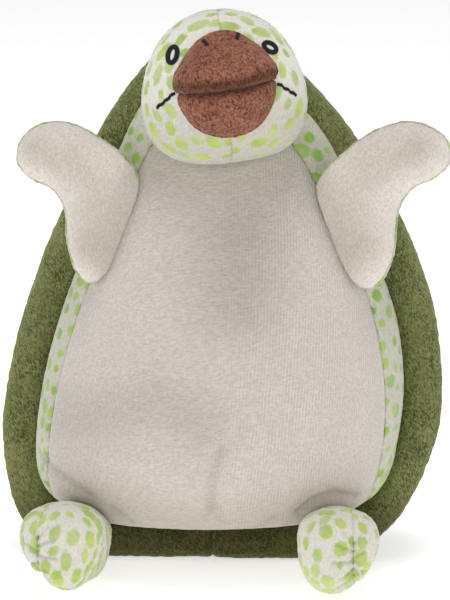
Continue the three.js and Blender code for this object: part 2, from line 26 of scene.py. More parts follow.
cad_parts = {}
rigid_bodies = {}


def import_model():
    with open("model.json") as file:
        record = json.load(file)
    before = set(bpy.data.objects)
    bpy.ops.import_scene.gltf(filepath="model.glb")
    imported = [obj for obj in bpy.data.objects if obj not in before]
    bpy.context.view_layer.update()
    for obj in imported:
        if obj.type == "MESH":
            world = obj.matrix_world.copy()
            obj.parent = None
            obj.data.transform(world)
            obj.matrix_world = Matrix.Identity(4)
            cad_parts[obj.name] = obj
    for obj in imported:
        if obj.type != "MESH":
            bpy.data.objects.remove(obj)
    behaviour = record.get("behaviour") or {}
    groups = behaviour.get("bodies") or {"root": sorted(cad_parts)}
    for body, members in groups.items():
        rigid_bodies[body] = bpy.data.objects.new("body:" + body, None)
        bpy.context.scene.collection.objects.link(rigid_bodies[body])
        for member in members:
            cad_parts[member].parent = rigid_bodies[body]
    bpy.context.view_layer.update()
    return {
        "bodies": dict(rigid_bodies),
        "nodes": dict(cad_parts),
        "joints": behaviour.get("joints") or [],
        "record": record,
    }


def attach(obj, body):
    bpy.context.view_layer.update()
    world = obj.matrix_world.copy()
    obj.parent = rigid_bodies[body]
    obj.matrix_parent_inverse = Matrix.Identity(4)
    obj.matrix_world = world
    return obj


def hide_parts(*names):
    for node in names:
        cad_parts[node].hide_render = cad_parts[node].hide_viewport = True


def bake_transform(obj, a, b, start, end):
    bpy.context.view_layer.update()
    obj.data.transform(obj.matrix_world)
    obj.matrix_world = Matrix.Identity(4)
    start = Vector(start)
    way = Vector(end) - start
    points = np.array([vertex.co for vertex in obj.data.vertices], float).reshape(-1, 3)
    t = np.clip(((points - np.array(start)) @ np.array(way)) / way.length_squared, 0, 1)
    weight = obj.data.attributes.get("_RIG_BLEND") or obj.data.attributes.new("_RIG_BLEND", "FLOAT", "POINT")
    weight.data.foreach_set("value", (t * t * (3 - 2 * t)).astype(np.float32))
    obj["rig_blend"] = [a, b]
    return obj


log = logging.getLogger("plush_turtle")

MM = 0.001
TINY = 1e-12
BEFORE_TOY = -0.1
BEHIND_TOY = 0.2
FINE_ROWS = 240
Points = np.ndarray
Distance = Callable[[Points], Points]
Range = tuple[float, float]
Triple = tuple[float, float, float]
Colour = Triple
WHITE: Colour = (1.0, 1.0, 1.0)
UNTURNED: Triple = (0.0, 0.0, 0.0)


class Side(Enum):
    """The toy's own left and right."""

    LEFT = 1
    RIGHT = -1

    @property
    def hand(self) -> str:
        """The side's word, as piece names hold it."""
        return self.name.lower()


class Crush(Enum):
    """How the pile of a plush lies."""

    BRUSHED = "brushed"
    CRUSHED = "crushed"


# Points of a mesh as arrays


def coords(bm: BMesh) -> Points:
    """Gives a mesh's points.

    Args:
        bm: The mesh.

    Returns:
        One row of three coordinates for each vertex.
    """
    return np.array([vert.co[:] for vert in bm.verts], float).reshape(-1, 3)


def normals(bm: BMesh) -> Points:
    """Gives the outward direction at each of a mesh's points."""
    bm.normal_update()
    return np.array([vert.normal[:] for vert in bm.verts], float).reshape(-1, 3)


def place(verts: Sequence[BMVert], points: Points) -> None:
    """Puts points of a mesh where an array says."""
    for vert, point in zip(verts, points):
        vert.co = point


def store(bm: BMesh, layer: Any, values: Sequence[Any]) -> None:
    """Stores a value at each of a mesh's points."""
    for vert, value in zip(bm.verts, values):
        vert[layer] = value


def soften(bm: BMesh, verts: Sequence[BMVert]) -> None:
    """Smooths points of a mesh halfway towards their neighbours."""
    bmesh.ops.smooth_vert(
        bm, verts=verts, factor=0.5, use_axis_x=True, use_axis_y=True, use_axis_z=True)


def moved(points: Points, matrix: Matrix) -> Points:
    """Gives points turned and shifted by a matrix."""
    array = np.array(matrix, float)
    return points @ array[:3, :3].T + array[:3, 3]


def smoothly(values: Points) -> Points:
    """Eases shares from 0 to 1, and holds them outside that range."""
    held = np.clip(values, 0.0, 1.0)
    return held * held * (3.0 - 2.0 * held)


def unit(ways: Points) -> Points:
    """Gives directions again at length one."""
    return ways / np.maximum(np.linalg.norm(ways, axis=1, keepdims=True), TINY)


def closed_curve(controls: Sequence[Sequence[float]], count: int) -> Points:
    """Runs a smooth closed curve through control points.

    Args:
        controls: The points that it passes, in order.
        count: How many evenly spaced points to give.

    Returns:
        The points along the curve.
    """
    table = np.array(controls, float)
    dense = through(np.roll(table, 1, 0), table, np.roll(table, -1, 0), np.roll(table, -2, 0))
    return evenly(np.vstack([dense, dense[:1]]), count + 1)[:count]


def through(before: Points, start: Points, end: Points, after: Points, steps: int = 24) -> Points:
    """Fills each stretch between two control points with a smooth run of steps.

    Args:
        before: The control points before each stretch.
        start: Where each stretch starts.
        end: Where each stretch ends.
        after: The control points after each stretch.
        steps: How many points each stretch gets.

    Returns:
        The points in order, without the last end.
    """
    made = []
    for p0, p1, p2, p3 in zip(before, start, end, after):
        for t in np.arange(steps) / steps:
            made.append(
                0.5 * (2 * p1 + (p2 - p0) * t + (2 * p0 - 5 * p1 + 4 * p2 - p3) * t**2
                       + (3 * p1 - p0 - 3 * p2 + p3) * t**3)
            )
    return np.array(made)


def evenly(line: Points, count: int) -> Points:
    """Gives a line again as evenly spaced points.

    Args:
        line: The line's points.
        count: How many points to give.

    Returns:
        The points, ends included.
    """
    run = np.concatenate([[0.0], np.cumsum(np.linalg.norm(np.diff(line, axis=0), axis=1))])
    wanted = np.linspace(0.0, run[-1], count)
    return np.stack([np.interp(wanted, run, line[:, k]) for k in range(line.shape[1])], axis=1)


def inside_distance(outline: Points, points: Points) -> Points:
    """Measures how far flat points lie inside a closed outline.

    Args:
        outline: The outline's corners, in order.
        points: The flat points.

    Returns:
        One distance for each point, negative outside.
    """
    nearest = np.full(len(points), np.inf)
    inside = np.zeros(len(points), bool)
    for a, b in zip(outline, np.roll(outline, -1, 0)):
        run = b - a
        share = np.clip((points - a) @ run / (run @ run), 0.0, 1.0)
        gap = points - a - share[:, None] * run
        nearest = np.minimum(nearest, np.einsum("ij,ij->i", gap, gap))
        crosses = (a[1] > points[:, 1]) != (b[1] > points[:, 1])
        if run[1]:
            inside ^= crosses & (points[:, 0] < a[0] + run[0] * (points[:, 1] - a[1]) / run[1])
    return np.sqrt(nearest) * np.where(inside, 1.0, -1.0)


def slope_of(distance: Distance, points: Points, step: float = 0.05 * MM) -> Points:
    """Gives the unit direction in which a distance grows fastest at each point.

    Args:
        distance: The distance.
        points: Where it is asked.
        step: How far to each side it is measured.

    Returns:
        One direction for each point.
    """
    parts = []
    for axis in np.eye(3) * step:
        parts.append(distance(points + axis) - distance(points - axis))
    return unit(np.stack(parts, axis=1))


# The toy's forms


@dataclass(frozen=True)
class Posture:
    """How the upright trunk leans back and bends to one side as it stands."""

    lean_share: float = 0.045
    reach: float = 10 * MM
    period: float = 220 * MM
    centre_share: float = 0.65
    shift_x: float = 0.0
    shift_y: float = 0.0

    def offsets(self, heights: Points) -> tuple[Points, Points]:
        """Gives how far the posture moves points of these heights, across and back."""
        bend = np.sin(np.pi * heights / self.period) - self.centre_share
        return self.reach * bend + self.shift_x, self.lean_share * heights + self.shift_y

    def settle(self, points: Points) -> Points:
        """Takes upright points into the posture."""
        across, back = self.offsets(points[:, 2])
        return points + np.stack([across, back, np.zeros(len(points))], axis=1)

    def straighten(self, points: Points) -> Points:
        """Takes settled points back to the upright frame."""
        across, back = self.offsets(points[:, 2])
        return points - np.stack([across, back, np.zeros(len(points))], axis=1)


@dataclass(frozen=True)
class StuffedForm:
    """A swelling form: each row holds a level, a width and a depth, as shares of its sizes."""

    rows: tuple[tuple[float, ...], ...]
    bottom: float
    height: float
    half_width: float
    front: float
    back: float
    middle_y: float = 0.0
    squareness: float = 2.2
    least: float = 0.1 * MM

    def profile(self, count: int) -> Points:
        """Gives evenly spaced rows of height, half width and depth share, from pole to pole.

        Args:
            count: How many rows to give.

        Returns:
            The rows.
        """
        table = np.array([(row[0], row[1], row[-1]) for row in self.rows])
        mirror = np.array([1.0, -1.0, -1.0])
        before = np.vstack([table[1] * mirror, table[:-2]])
        after = np.vstack([table[2:], table[-2] * mirror])
        line = through(before, table[:-1], table[1:], after)
        line = np.vstack([line, table[-1]])
        sizes = np.array([self.height, self.half_width, self.half_width])
        scaled = evenly(line * sizes, count)
        scaled[:, 0] += self.bottom
        scaled[:, 2] /= self.half_width
        return scaled

    def build(self, around: int = 64, rows: int = 48) -> BMesh:
        """Shapes a ball into the form.

        Args:
            around: Points round each row.
            rows: Rows from pole to pole.

        Returns:
            The closed mesh.
        """
        bm = bmesh.new()
        bmesh.ops.create_uvsphere(bm, u_segments=around, v_segments=rows, radius=1.0)
        line = self.profile(rows + 1)
        for vert in bm.verts:
            step = round(math.acos(max(-1.0, min(1.0, -vert.co.z))) / math.pi * rows)
            vert.co = self.section(line[step], math.atan2(vert.co.y, vert.co.x))
        return bm

    def section(self, row: Points, turn: float) -> Vector:
        """Gives the point of a row at an angle round the form.

        Args:
            row: Height, half width and depth share.
            turn: The angle, in radians.

        Returns:
            The point.
        """
        blunt = [math.copysign(abs(part) ** (2 / self.squareness), part)
                 for part in (math.cos(turn), math.sin(turn))]
        depth = (self.front if blunt[1] < 0 else self.back) * row[2]
        return Vector((row[1] * blunt[0], self.middle_y + depth * blunt[1], row[0]))

    def outside(self, points: Points) -> Points:
        """Measures roughly how far points lie outside the form, negative inside.

        Args:
            points: The points.

        Returns:
            One distance for each point.
        """
        line = self.profile(FINE_ROWS)
        width = np.maximum(np.interp(points[:, 2], line[:, 0], line[:, 1]), self.least)
        share = np.interp(points[:, 2], line[:, 0], line[:, 2])
        y = points[:, 1] - self.middle_y
        depth = np.maximum(share * np.where(y < 0, self.front, self.back), self.least)
        blunt = (np.abs(points[:, 0]) / width) ** self.squareness
        blunt = blunt + (np.abs(y) / depth) ** self.squareness
        beyond = np.maximum(points[:, 2] - line[-1, 0], line[0, 0] - points[:, 2])
        across = (blunt ** (1 / self.squareness) - 1.0) * np.minimum(width, depth)
        return np.maximum(across, beyond)


def stacked(rings: Sequence[Points]) -> BMesh:
    """Skins rings of as many points each, and closes both ends.

    Args:
        rings: The rings, in order, each running the same way round.

    Returns:
        The closed mesh.
    """
    bm = bmesh.new()
    bmesh.ops.create_circle(bm, cap_ends=False, segments=len(rings[0]), radius=1.0)
    ring = list(bm.verts)
    place(ring, rings[0])
    edges = list(bm.edges)
    bmesh.ops.contextual_create(bm, geom=edges)
    for points in rings[1:]:
        made = bmesh.ops.extrude_edge_only(bm, edges=edges)["geom"]
        order = {vert: i for i, vert in enumerate(ring)}
        fresh = [part for part in made if isinstance(part, BMVert)]
        edges = [part for part in made if isinstance(part, bmesh.types.BMEdge)
                 and part.verts[0] in fresh and part.verts[1] in fresh]
        following: list[BMVert] = [None] * len(ring)
        for vert in fresh:
            partner = next(edge.other_vert(vert) for edge in vert.link_edges
                           if edge.other_vert(vert) in order)
            following[order[partner]] = vert
        ring = following
        place(ring, points)
    bmesh.ops.contextual_create(bm, geom=edges)
    bmesh.ops.recalc_face_normals(bm, faces=bm.faces)
    return bm


@dataclass(frozen=True)
class Stuffing:
    """Fills a form: an even mesh of it is blown up a little as cloth, and then refined."""

    voxel: float
    reach: float
    pressure: float = 4.0
    refine: int = 1
    swell_share: float = 0.6
    sag_share: float = 0.15
    frames: int = 20
    scale: float = 8.0

    def fill(self, bm: BMesh) -> BMesh:
        """Gives the filled form of a mesh, which is used up.

        Args:
            bm: The closed form.

        Returns:
            The filled form, of finer faces.
        """
        bmesh.ops.scale(bm, vec=Vector((1, 1, 1)) * self.scale, verts=bm.verts)
        piece = linked(bm, "being_filled")
        even = piece.modifiers.new("even", "REMESH")
        even.mode = "VOXEL"
        even.voxel_size = self.voxel * self.scale
        settle_modifiers(piece)
        if self.reach:
            self.inflate(piece)
        if self.refine:
            finer = piece.modifiers.new("finer", "SUBSURF")
            finer.levels = finer.render_levels = self.refine
            settle_modifiers(piece)
        filled = bmesh.new()
        filled.from_mesh(piece.data)
        bmesh.ops.scale(filled, vec=Vector((1, 1, 1)) / self.scale, verts=filled.verts)
        soften(filled, filled.verts)
        bpy.data.objects.remove(piece)
        return filled

    def inflate(self, piece: Object) -> None:
        """Runs the cloth and moves the points by a share of what it gives, less where it sags.

        Args:
            piece: The even mesh.
        """
        start = np.array([vert.co[:] for vert in piece.data.vertices])
        ways = np.array([normal.vector[:] for normal in piece.data.vertex_normals])
        cloth = piece.modifiers.new("cloth", "CLOTH")
        cloth.point_cache.frame_start = 1
        cloth.point_cache.frame_end = self.frames
        cloth.settings.use_pressure = True
        cloth.settings.uniform_pressure_force = self.pressure
        cloth.settings.effector_weights.gravity = 0.0
        for number in range(1, self.frames + 1):
            bpy.context.scene.frame_set(number)
        shown = piece.evaluated_get(bpy.context.evaluated_depsgraph_get())
        end = np.array([vert.co[:] for vert in shown.data.vertices])
        step = end - start
        length = np.linalg.norm(step, axis=1, keepdims=True)
        cap = self.reach * self.scale
        step *= np.tanh(length / cap) * cap / np.maximum(length, TINY)
        out = np.einsum("ij,ij->i", step, ways)
        out *= 1 - np.where(out < 0, self.sag_share, self.swell_share)
        step -= ways * out[:, None]
        piece.modifiers.remove(cloth)
        bpy.context.scene.frame_set(1)
        piece.data.vertices.foreach_set("co", (start + step).astype(np.float32).ravel())
        piece.data.update()


def linked(bm: BMesh, name: str) -> Object:
    """Makes a smooth object of a mesh, which is used up.

    Args:
        bm: The mesh.
        name: The object's name.

    Returns:
        The object, in the scene.
    """
    mesh = bpy.data.meshes.new(name)
    bm.to_mesh(mesh)
    bm.free()
    mesh.shade_smooth()
    piece = bpy.data.objects.new(name, mesh)
    bpy.context.scene.collection.objects.link(piece)
    return piece


def settle_modifiers(piece: Object) -> None:
    """Turns a piece's modifiers into its mesh.

    Args:
        piece: The piece.
    """
    shown = piece.evaluated_get(bpy.context.evaluated_depsgraph_get())
    mesh = bpy.data.meshes.new_from_object(shown)
    piece.modifiers.clear()
    piece.data = mesh


# Sewing


@dataclass(frozen=True)
class SeamRoll:
    """How a panel's edge turns in at its seam."""

    width: float
    depth: float
    gap: float = 0.03 * MM

    def cut(self, whole: BMesh, distance: Distance, rolled: Distance | None = None) -> BMesh:
        """Cuts a panel out of a filled form.

        Args:
            whole: The form, which is kept.
            distance: How far a point lies inside the panel.
            rolled: The same for the edges that turn in, if some don't.

        Returns:
            The panel, open at its edge.
        """
        panel = whole.copy()
        outward = normals(panel)
        layer = panel.verts.layers.float_vector.new("outward")
        store(panel, layer, outward)
        depth = distance(coords(panel))
        panel.verts.index_update()
        doomed = [face for face in panel.faces
                  if sum(depth[vert.index] for vert in face.verts) < len(face.verts) * self.gap]
        bmesh.ops.delete(panel, geom=doomed, context="FACES")
        self.trim(panel, distance)
        points = coords(panel)
        edge = (rolled or distance)(points)
        share = np.clip(1.0 - (edge - self.gap) / self.width, 0.0, 1.0)
        outward = np.array([vert[layer][:] for vert in panel.verts])
        place(panel.verts, points - outward * (self.depth * share**2)[:, None])
        panel.verts.layers.float_vector.remove(layer)
        return panel

    def trim(self, panel: BMesh, distance: Distance) -> None:
        """Moves the panel's ragged edge onto its seam line.

        Args:
            panel: The panel.
            distance: How far a point lies inside it.
        """
        rim = [vert for vert in panel.verts if any(edge.is_boundary for edge in vert.link_edges)]
        for _ in range(2):
            points = np.array([vert.co[:] for vert in rim])
            step = (self.gap - distance(points))[:, None] * slope_of(distance, points)
            place(rim, points + step)
        inner = {edge.other_vert(vert) for vert in rim for edge in vert.link_edges} - set(rim)
        soften(panel, list(inner))


@dataclass(frozen=True)
class Crease:
    """A crease or a raised fold along a line, in the frame of the piece that has it, with painted shade
    along it.
    """

    line: tuple[Triple, ...]
    width: float
    depth: float
    seen_flat: bool = False
    shade: float = 0.0

    def nearness(self, points: Points, outward: Points) -> Points:
        """Gives how near each point lies to the crease, from 0 to 1 on its line.

        Args:
            points: The mesh's points.
            outward: Its outward directions.

        Returns:
            One share for each point.
        """
        nearest = np.full(len(points), np.inf)
        flat = np.array([1.0, 0.0 if self.seen_flat else 1.0, 1.0])
        stops = np.array(self.line) * flat
        for a, b in zip(stops[:-1], stops[1:]):
            run = b - a
            offset = points * flat - a
            share = np.clip(offset @ run / (run @ run), 0.0, 1.0)
            nearest = np.minimum(nearest, np.linalg.norm(offset - share[:, None] * run, axis=1))
        near = np.exp(-((nearest / self.width) ** 2))
        return near * (outward[:, 1] < 0) if self.seen_flat else near


def press_all(bm: BMesh, creases: Sequence[Crease]) -> None:
    """Presses creases into a mesh, and paints shade on their cloth.

    Args:
        bm: The mesh.
        creases: The creases and folds.
    """
    points, outward = coords(bm), normals(bm)
    light = np.ones(len(points))
    for crease in creases:
        near = crease.nearness(points, outward)
        points = points - outward * (crease.depth * near)[:, None]
        light *= 1 - crease.shade * near
    place(bm.verts, points)
    darken(bm, 1 - light)


def darken(bm: BMesh, share: Points) -> None:
    """Stores how much painted shade darkens each point of the cloth, on top of what it has, in a layer of
    its points.

    Args:
        bm: The mesh.
        share: How much darker each point gets.
    """
    layers = bm.verts.layers.float
    layer = layers.get("hollow")
    if layer is None:
        layer = layers.new("hollow")
    light = 1 - np.array([vert[layer] for vert in bm.verts])
    store(bm, layer, 1 - light * (1 - share))


@dataclass(frozen=True)
class Shade:
    """Painted shade that grows down a piece's cloth from a height, over an even share everywhere."""

    share: float
    top: float
    over: float
    everywhere: float = 0.0

    def lay(self, bm: BMesh) -> None:
        """Paints the shade on a mesh's points."""
        below = (self.top - coords(bm)[:, 2]) / self.over
        darken(bm, self.everywhere + self.share * smoothly(below))


@dataclass(frozen=True)
class Lumps:
    """Slow random unevenness of a filled form."""

    size: float
    height: float
    seed: float

    def swell(self, bm: BMesh, shift: float = 0.0) -> None:
        """Raises and sinks a mesh's points.

        Args:
            bm: The mesh.
            shift: Changes the pattern.
        """
        points, outward = coords(bm), normals(bm)
        seed = self.seed + shift
        start = Vector((seed, 0.37 * seed, 1.7 * seed))
        rise = np.array([noise.noise(Vector(point) / self.size + start) for point in points])
        place(bm.verts, points + outward * (self.height * rise)[:, None])


@dataclass(frozen=True)
class SpotPrint:
    """Printed spots, scattered over a panel."""

    spacing: float
    radius: float
    stretch: float
    seed: int
    gap_shares: Range = (0.85, 1.2)
    size_shares: Range = (-1.1, 0.9)
    stretch_shares: Range = (0.2, 1.3)
    spread_share: float = 0.4
    turn: float = 0.3
    reach_share: float = 2.2

    def scatter(self, points: Points, random: np.random.Generator) -> list[int]:
        """Picks the points where spots lie, each well away from the others.

        Args:
            points: The panel's points.
            random: Where the random numbers come from.

        Returns:
            The numbers of the points picked.
        """
        centres: list[int] = []
        for pick in random.permutation(len(points)):
            need = self.spacing * random.uniform(*self.gap_shares)
            gaps = np.linalg.norm(points[centres] - points[pick], axis=1) if centres else [1.0]
            if np.min(gaps) > need:
                centres.append(pick)
        return centres

    def mark(self, bm: BMesh, along: Callable[[Points, Points], Points]) -> None:
        """Stores how far each point lies inside its nearest spot, as spot_edge in millimetres.

        Args:
            bm: The panel.
            along: Gives the way that spots are longer, from points and their normals.
        """
        points, outward = coords(bm), normals(bm)
        random = np.random.default_rng(self.seed)
        centres = self.scatter(points, random)
        edge = np.full(len(points), -self.spacing)
        tree = KDTree(len(points))
        for i, point in enumerate(points):
            tree.insert(point, i)
        tree.balance()
        ways = along(points[centres], outward[centres])
        for pick, way in zip(centres, ways):
            size = self.radius * (1 + self.spread_share * random.uniform(*self.size_shares))
            stretch = 1 + (self.stretch - 1) * random.uniform(*self.stretch_shares)
            turn = Matrix.Rotation(random.normal(0.0, self.turn), 3, Vector(outward[pick]))
            way = np.array(turn @ Vector(way))
            reach = self.reach_share * size * stretch
            near = [i for _, i, _ in tree.find_range(points[pick], reach)]
            offset = points[near] - points[pick]
            run = offset @ way
            rest = np.linalg.norm(offset - run[:, None] * way, axis=1)
            ring = np.sqrt((run / (size * stretch)) ** 2 + (rest / size) ** 2)
            edge[near] = np.maximum(edge[near], (1.0 - ring) * size)
        store(bm, bm.verts.layers.float.new("spot_edge"), edge / MM)


# Materials


SHEEN_ROUGHNESS = 0.28
CLOTH_SPECULAR = 0.15
# The tint that painted shade gives the cloth's colour where it is deepest
PAINTED_SHADE_TINT: Colour = (0.3, 0.25, 0.18)
# How rough the pile is at its roots, and how much less at its tips
ROOT_ROUGHNESS = 0.98
TIP_SMOOTHNESS = 0.12
# Half the range of pile heights, and the height of pile that is stroked flat
PILE_SPREAD = 0.3
CALM_HEIGHT = 0.53
# How much of brushed pile's height is in its tufts, and the size of finer tufts to these
TUFT_SHARE = 0.6
FINE_TUFT = 0.42
# How much of crushed pile's height is in its strokes, its clumps and its finest hairs
CRUSHED_SHARES: Triple = (0.66, 0.16, 0.18)
STROKE_TURNS = ((18, 34, 0), (-20, 12, 10))


class Wire:
    """A socket of a material's nodes, whose arithmetic adds Math nodes."""

    def __init__(self, graph: "Graph", socket: Any) -> None:
        """Wraps a socket of a graph."""
        self.graph = graph
        self.socket = socket

    def math(self, operation: str, *values: Any) -> "Wire":
        """Adds a Math node."""
        return self.graph.node("ShaderNodeMath", {"operation": operation}, *values)

    def __add__(self, other: Any) -> "Wire":
        """Adds."""
        return self.math("ADD", self, other)

    __radd__ = __add__

    def __sub__(self, other: Any) -> "Wire":
        """Subtracts."""
        return self.math("SUBTRACT", self, other)

    def __rsub__(self, other: Any) -> "Wire":
        """Subtracts from a number."""
        return self.math("SUBTRACT", other, self)

    def __mul__(self, other: Any) -> "Wire":
        """Multiplies."""
        return self.math("MULTIPLY", self, other)

    __rmul__ = __mul__

    def sine(self) -> "Wire":
        """Takes the sine."""
        return self.math("SINE", self)

    def between(self, low: float, high: float) -> "Wire":
        """Eases from 0 at one value to 1 at the other."""
        return self.graph.node(
            "ShaderNodeMapRange", {"interpolation_type": "SMOOTHSTEP"}, self, low, high)

    def at_least(self, least: float) -> "Wire":
        """Gives a share from 0 to 1 again as one from a least value to 1."""
        return least + (1 - least) * self


class Graph:
    """The nodes of one material."""

    def __init__(self, name: str) -> None:
        """Starts a material with its output.

        Args:
            name: The material's name.
        """
        self.material = bpy.data.materials.new(name)
        self.material.use_nodes = True
        self.tree = self.material.node_tree
        self.tree.nodes.clear()
        self.output = self.tree.nodes.new("ShaderNodeOutputMaterial")

    def node(self, kind: str, settings: dict[str, Any], *values: Any, out: int = 0,
             **named: Any) -> Wire:
        """Adds a node.

        Args:
            kind: The node's type.
            settings: Its settings, which are made first.
            values: Values or wires of its sockets, in order.
            out: Which output to give.
            named: Values or wires of sockets by name, with _ for a space.

        Returns:
            The output that was asked for.
        """
        made = self.tree.nodes.new(kind)
        for key, value in settings.items():
            setattr(made, key, value)
        pairs = list(zip(made.inputs, values))
        pairs += [(made.inputs[key.replace("_", " ")], value) for key, value in named.items()]
        for socket, value in pairs:
            self.feed(socket, value)
        return Wire(self, made.outputs[out])

    def feed(self, socket: Any, value: Any) -> None:
        """Links a wire to a socket, or sets the socket's value.

        Args:
            socket: The socket.
            value: A wire, a value, or None to leave the socket alone.
        """
        if isinstance(value, Wire):
            self.tree.links.new(value.socket, socket)
        elif value is not None:
            socket.default_value = value

    def coordinates(self) -> Wire:
        """Gives the piece's own coordinates."""
        return self.node("ShaderNodeTexCoord", {}, out=3)

    def attribute(self, name: str, out: int) -> Wire:
        """Gives a value or a vector that the piece's points hold."""
        return self.node("ShaderNodeAttribute", {"attribute_name": name}, out=out)

    def stretched(self, vector: Wire, turn: Triple, scale: Triple) -> Wire:
        """Turns and then scales a vector.

        Args:
            vector: The vector.
            turn: Angles about the three axes, in degrees.
            scale: Factors along the three axes.

        Returns:
            The new vector.
        """
        turned = self.node("ShaderNodeVectorRotate", {"rotation_type": "EULER_XYZ"}, vector,
                           Rotation=tuple(math.radians(angle) for angle in turn))
        return self.node("ShaderNodeVectorMath", {"operation": "MULTIPLY"}, turned, scale)

    def noise(self, vector: Wire, size: float, detail: float = 2.0, rough: float = 0.5,
              swirl: float = 0.0) -> Wire:
        """Gives noise whose lumps are about a size across, in metres."""
        return self.node("ShaderNodeTexNoise", {}, Vector=vector, Scale=1.0 / size, Detail=detail,
                         Roughness=rough, Distortion=swirl)

    def blend(self, share: Any, low: Any, high: Any) -> Wire:
        """Mixes two colours.

        Args:
            share: How much of the second colour there is.
            low: The first colour.
            high: The second colour.

        Returns:
            The mixture.
        """
        four = [(*c, 1.0) if isinstance(c, tuple) else c for c in (low, high)]
        made = self.tree.nodes.new("ShaderNodeMix")
        made.data_type = "RGBA"
        for number, value in zip((0, 6, 7), (share, *four)):
            self.feed(made.inputs[number], value)
        return Wire(self, made.outputs[2])

    def relief(self, height: Wire, distance: float, strength: float = 1.0) -> Wire:
        """Gives a normal from a height."""
        return self.node("ShaderNodeBump", {}, Height=height, Distance=distance, Strength=strength)

    def cloth(self, colour: Any, rough: Any, normal: Any, sheen: float,
              sheen_colour: Colour = WHITE) -> Material:
        """Finishes the material as a cloth.

        Args:
            colour: Its colour.
            rough: Its roughness.
            normal: Its normal, or None for a plain one.
            sheen: How much sheen it has.
            sheen_colour: The sheen's colour.

        Returns:
            The material.
        """
        shader = self.node(
            "ShaderNodeBsdfPrincipled", {}, Base_Color=colour, Roughness=rough, Normal=normal,
            Sheen_Weight=sheen, Sheen_Roughness=SHEEN_ROUGHNESS, Sheen_Tint=(*sheen_colour, 1.0),
            Specular_IOR_Level=CLOTH_SPECULAR)
        self.tree.links.new(shader.socket, self.output.inputs[0])
        return self.material


@dataclass(frozen=True)
class Ribs:
    """Faint ribs that run up a cloth and fade into pile that is brushed across it."""

    pitch: float
    bend: float = 5 * MM
    bend_share: float = 0.8
    gaps: float = 0.8 * MM
    gap_stretch: Triple = (1.0, 1.0, 0.5)
    brushing: float = 0.6 * MM
    brushing_turn: Triple = (0, 8, 0)
    brushing_stretch: Triple = (0.25, 1.0, 1.0)
    wear: float = 10 * MM
    worn: Range = (0.3, 0.6)
    fade: Range = (-12 * MM, 28 * MM)
    height: float = 0.9
    pile_share: float = 0.55

    def over(self, graph: Graph, where: Wire, pile: Wire) -> Wire:
        """Adds the ribs and the brushing to a pile's height.

        Args:
            graph: The material's nodes.
            where: The piece's own coordinates.
            pile: The pile's height.

        Returns:
            The new height.
        """
        bent = graph.noise(where, self.bend) * (self.bend_share * self.pitch)
        across = graph.node("ShaderNodeSeparateXYZ", {}, graph.attribute("weave", 1)) + bent
        ribs = (across * (2 * math.pi / self.pitch)).sine() * 0.5 + 0.5
        broken = graph.noise(graph.stretched(where, UNTURNED, self.gap_stretch), self.gaps, 1.0)
        side = across.between(*self.fade)
        worn = graph.noise(where, self.wear).between(*self.worn)
        brushed = graph.noise(
            graph.stretched(where, self.brushing_turn, self.brushing_stretch), self.brushing, 1.0)
        lying = brushed + (ribs - 0.5) * (broken * side * worn) * self.height
        return self.pile_share * pile + (1 - self.pile_share) * lying


@dataclass(frozen=True)
class Ink:
    """The ink of printed spots: its two tones and how it has worn."""

    colour: Colour
    shade: Colour
    ragged: float = 1.0 * MM
    ragged_by: float = 1.5
    edge: Range = (-0.5, 0.4)
    wear: float = 10 * MM
    worn: Range = (0.36, 0.56)
    worn_least: float = 0.78
    roots: Range = (0.35, 0.6)
    roots_least: float = 0.76
    tone: float = 9 * MM
    tones: Range = (0.35, 0.65)

    def over(self, graph: Graph, where: Wire, colour: Wire, height: Wire) -> Wire:
        """Prints the spots over the pile's colour.

        Args:
            graph: The material's nodes.
            where: The piece's own coordinates.
            colour: The pile's colour.
            height: The pile's height.

        Returns:
            The printed colour.
        """
        ragged = graph.noise(where, self.ragged) - 0.5
        edge = graph.attribute("spot_edge", 2) + ragged * self.ragged_by
        fresh = graph.noise(where, self.wear, 1.0).between(*self.worn).at_least(self.worn_least)
        taken = height.between(*self.roots).at_least(self.roots_least)
        inked = edge.between(*self.edge) * taken * fresh
        tone = graph.noise(where, self.tone, 1.0).between(*self.tones)
        return graph.blend(inked, colour, graph.blend(tone, self.colour, self.shade))


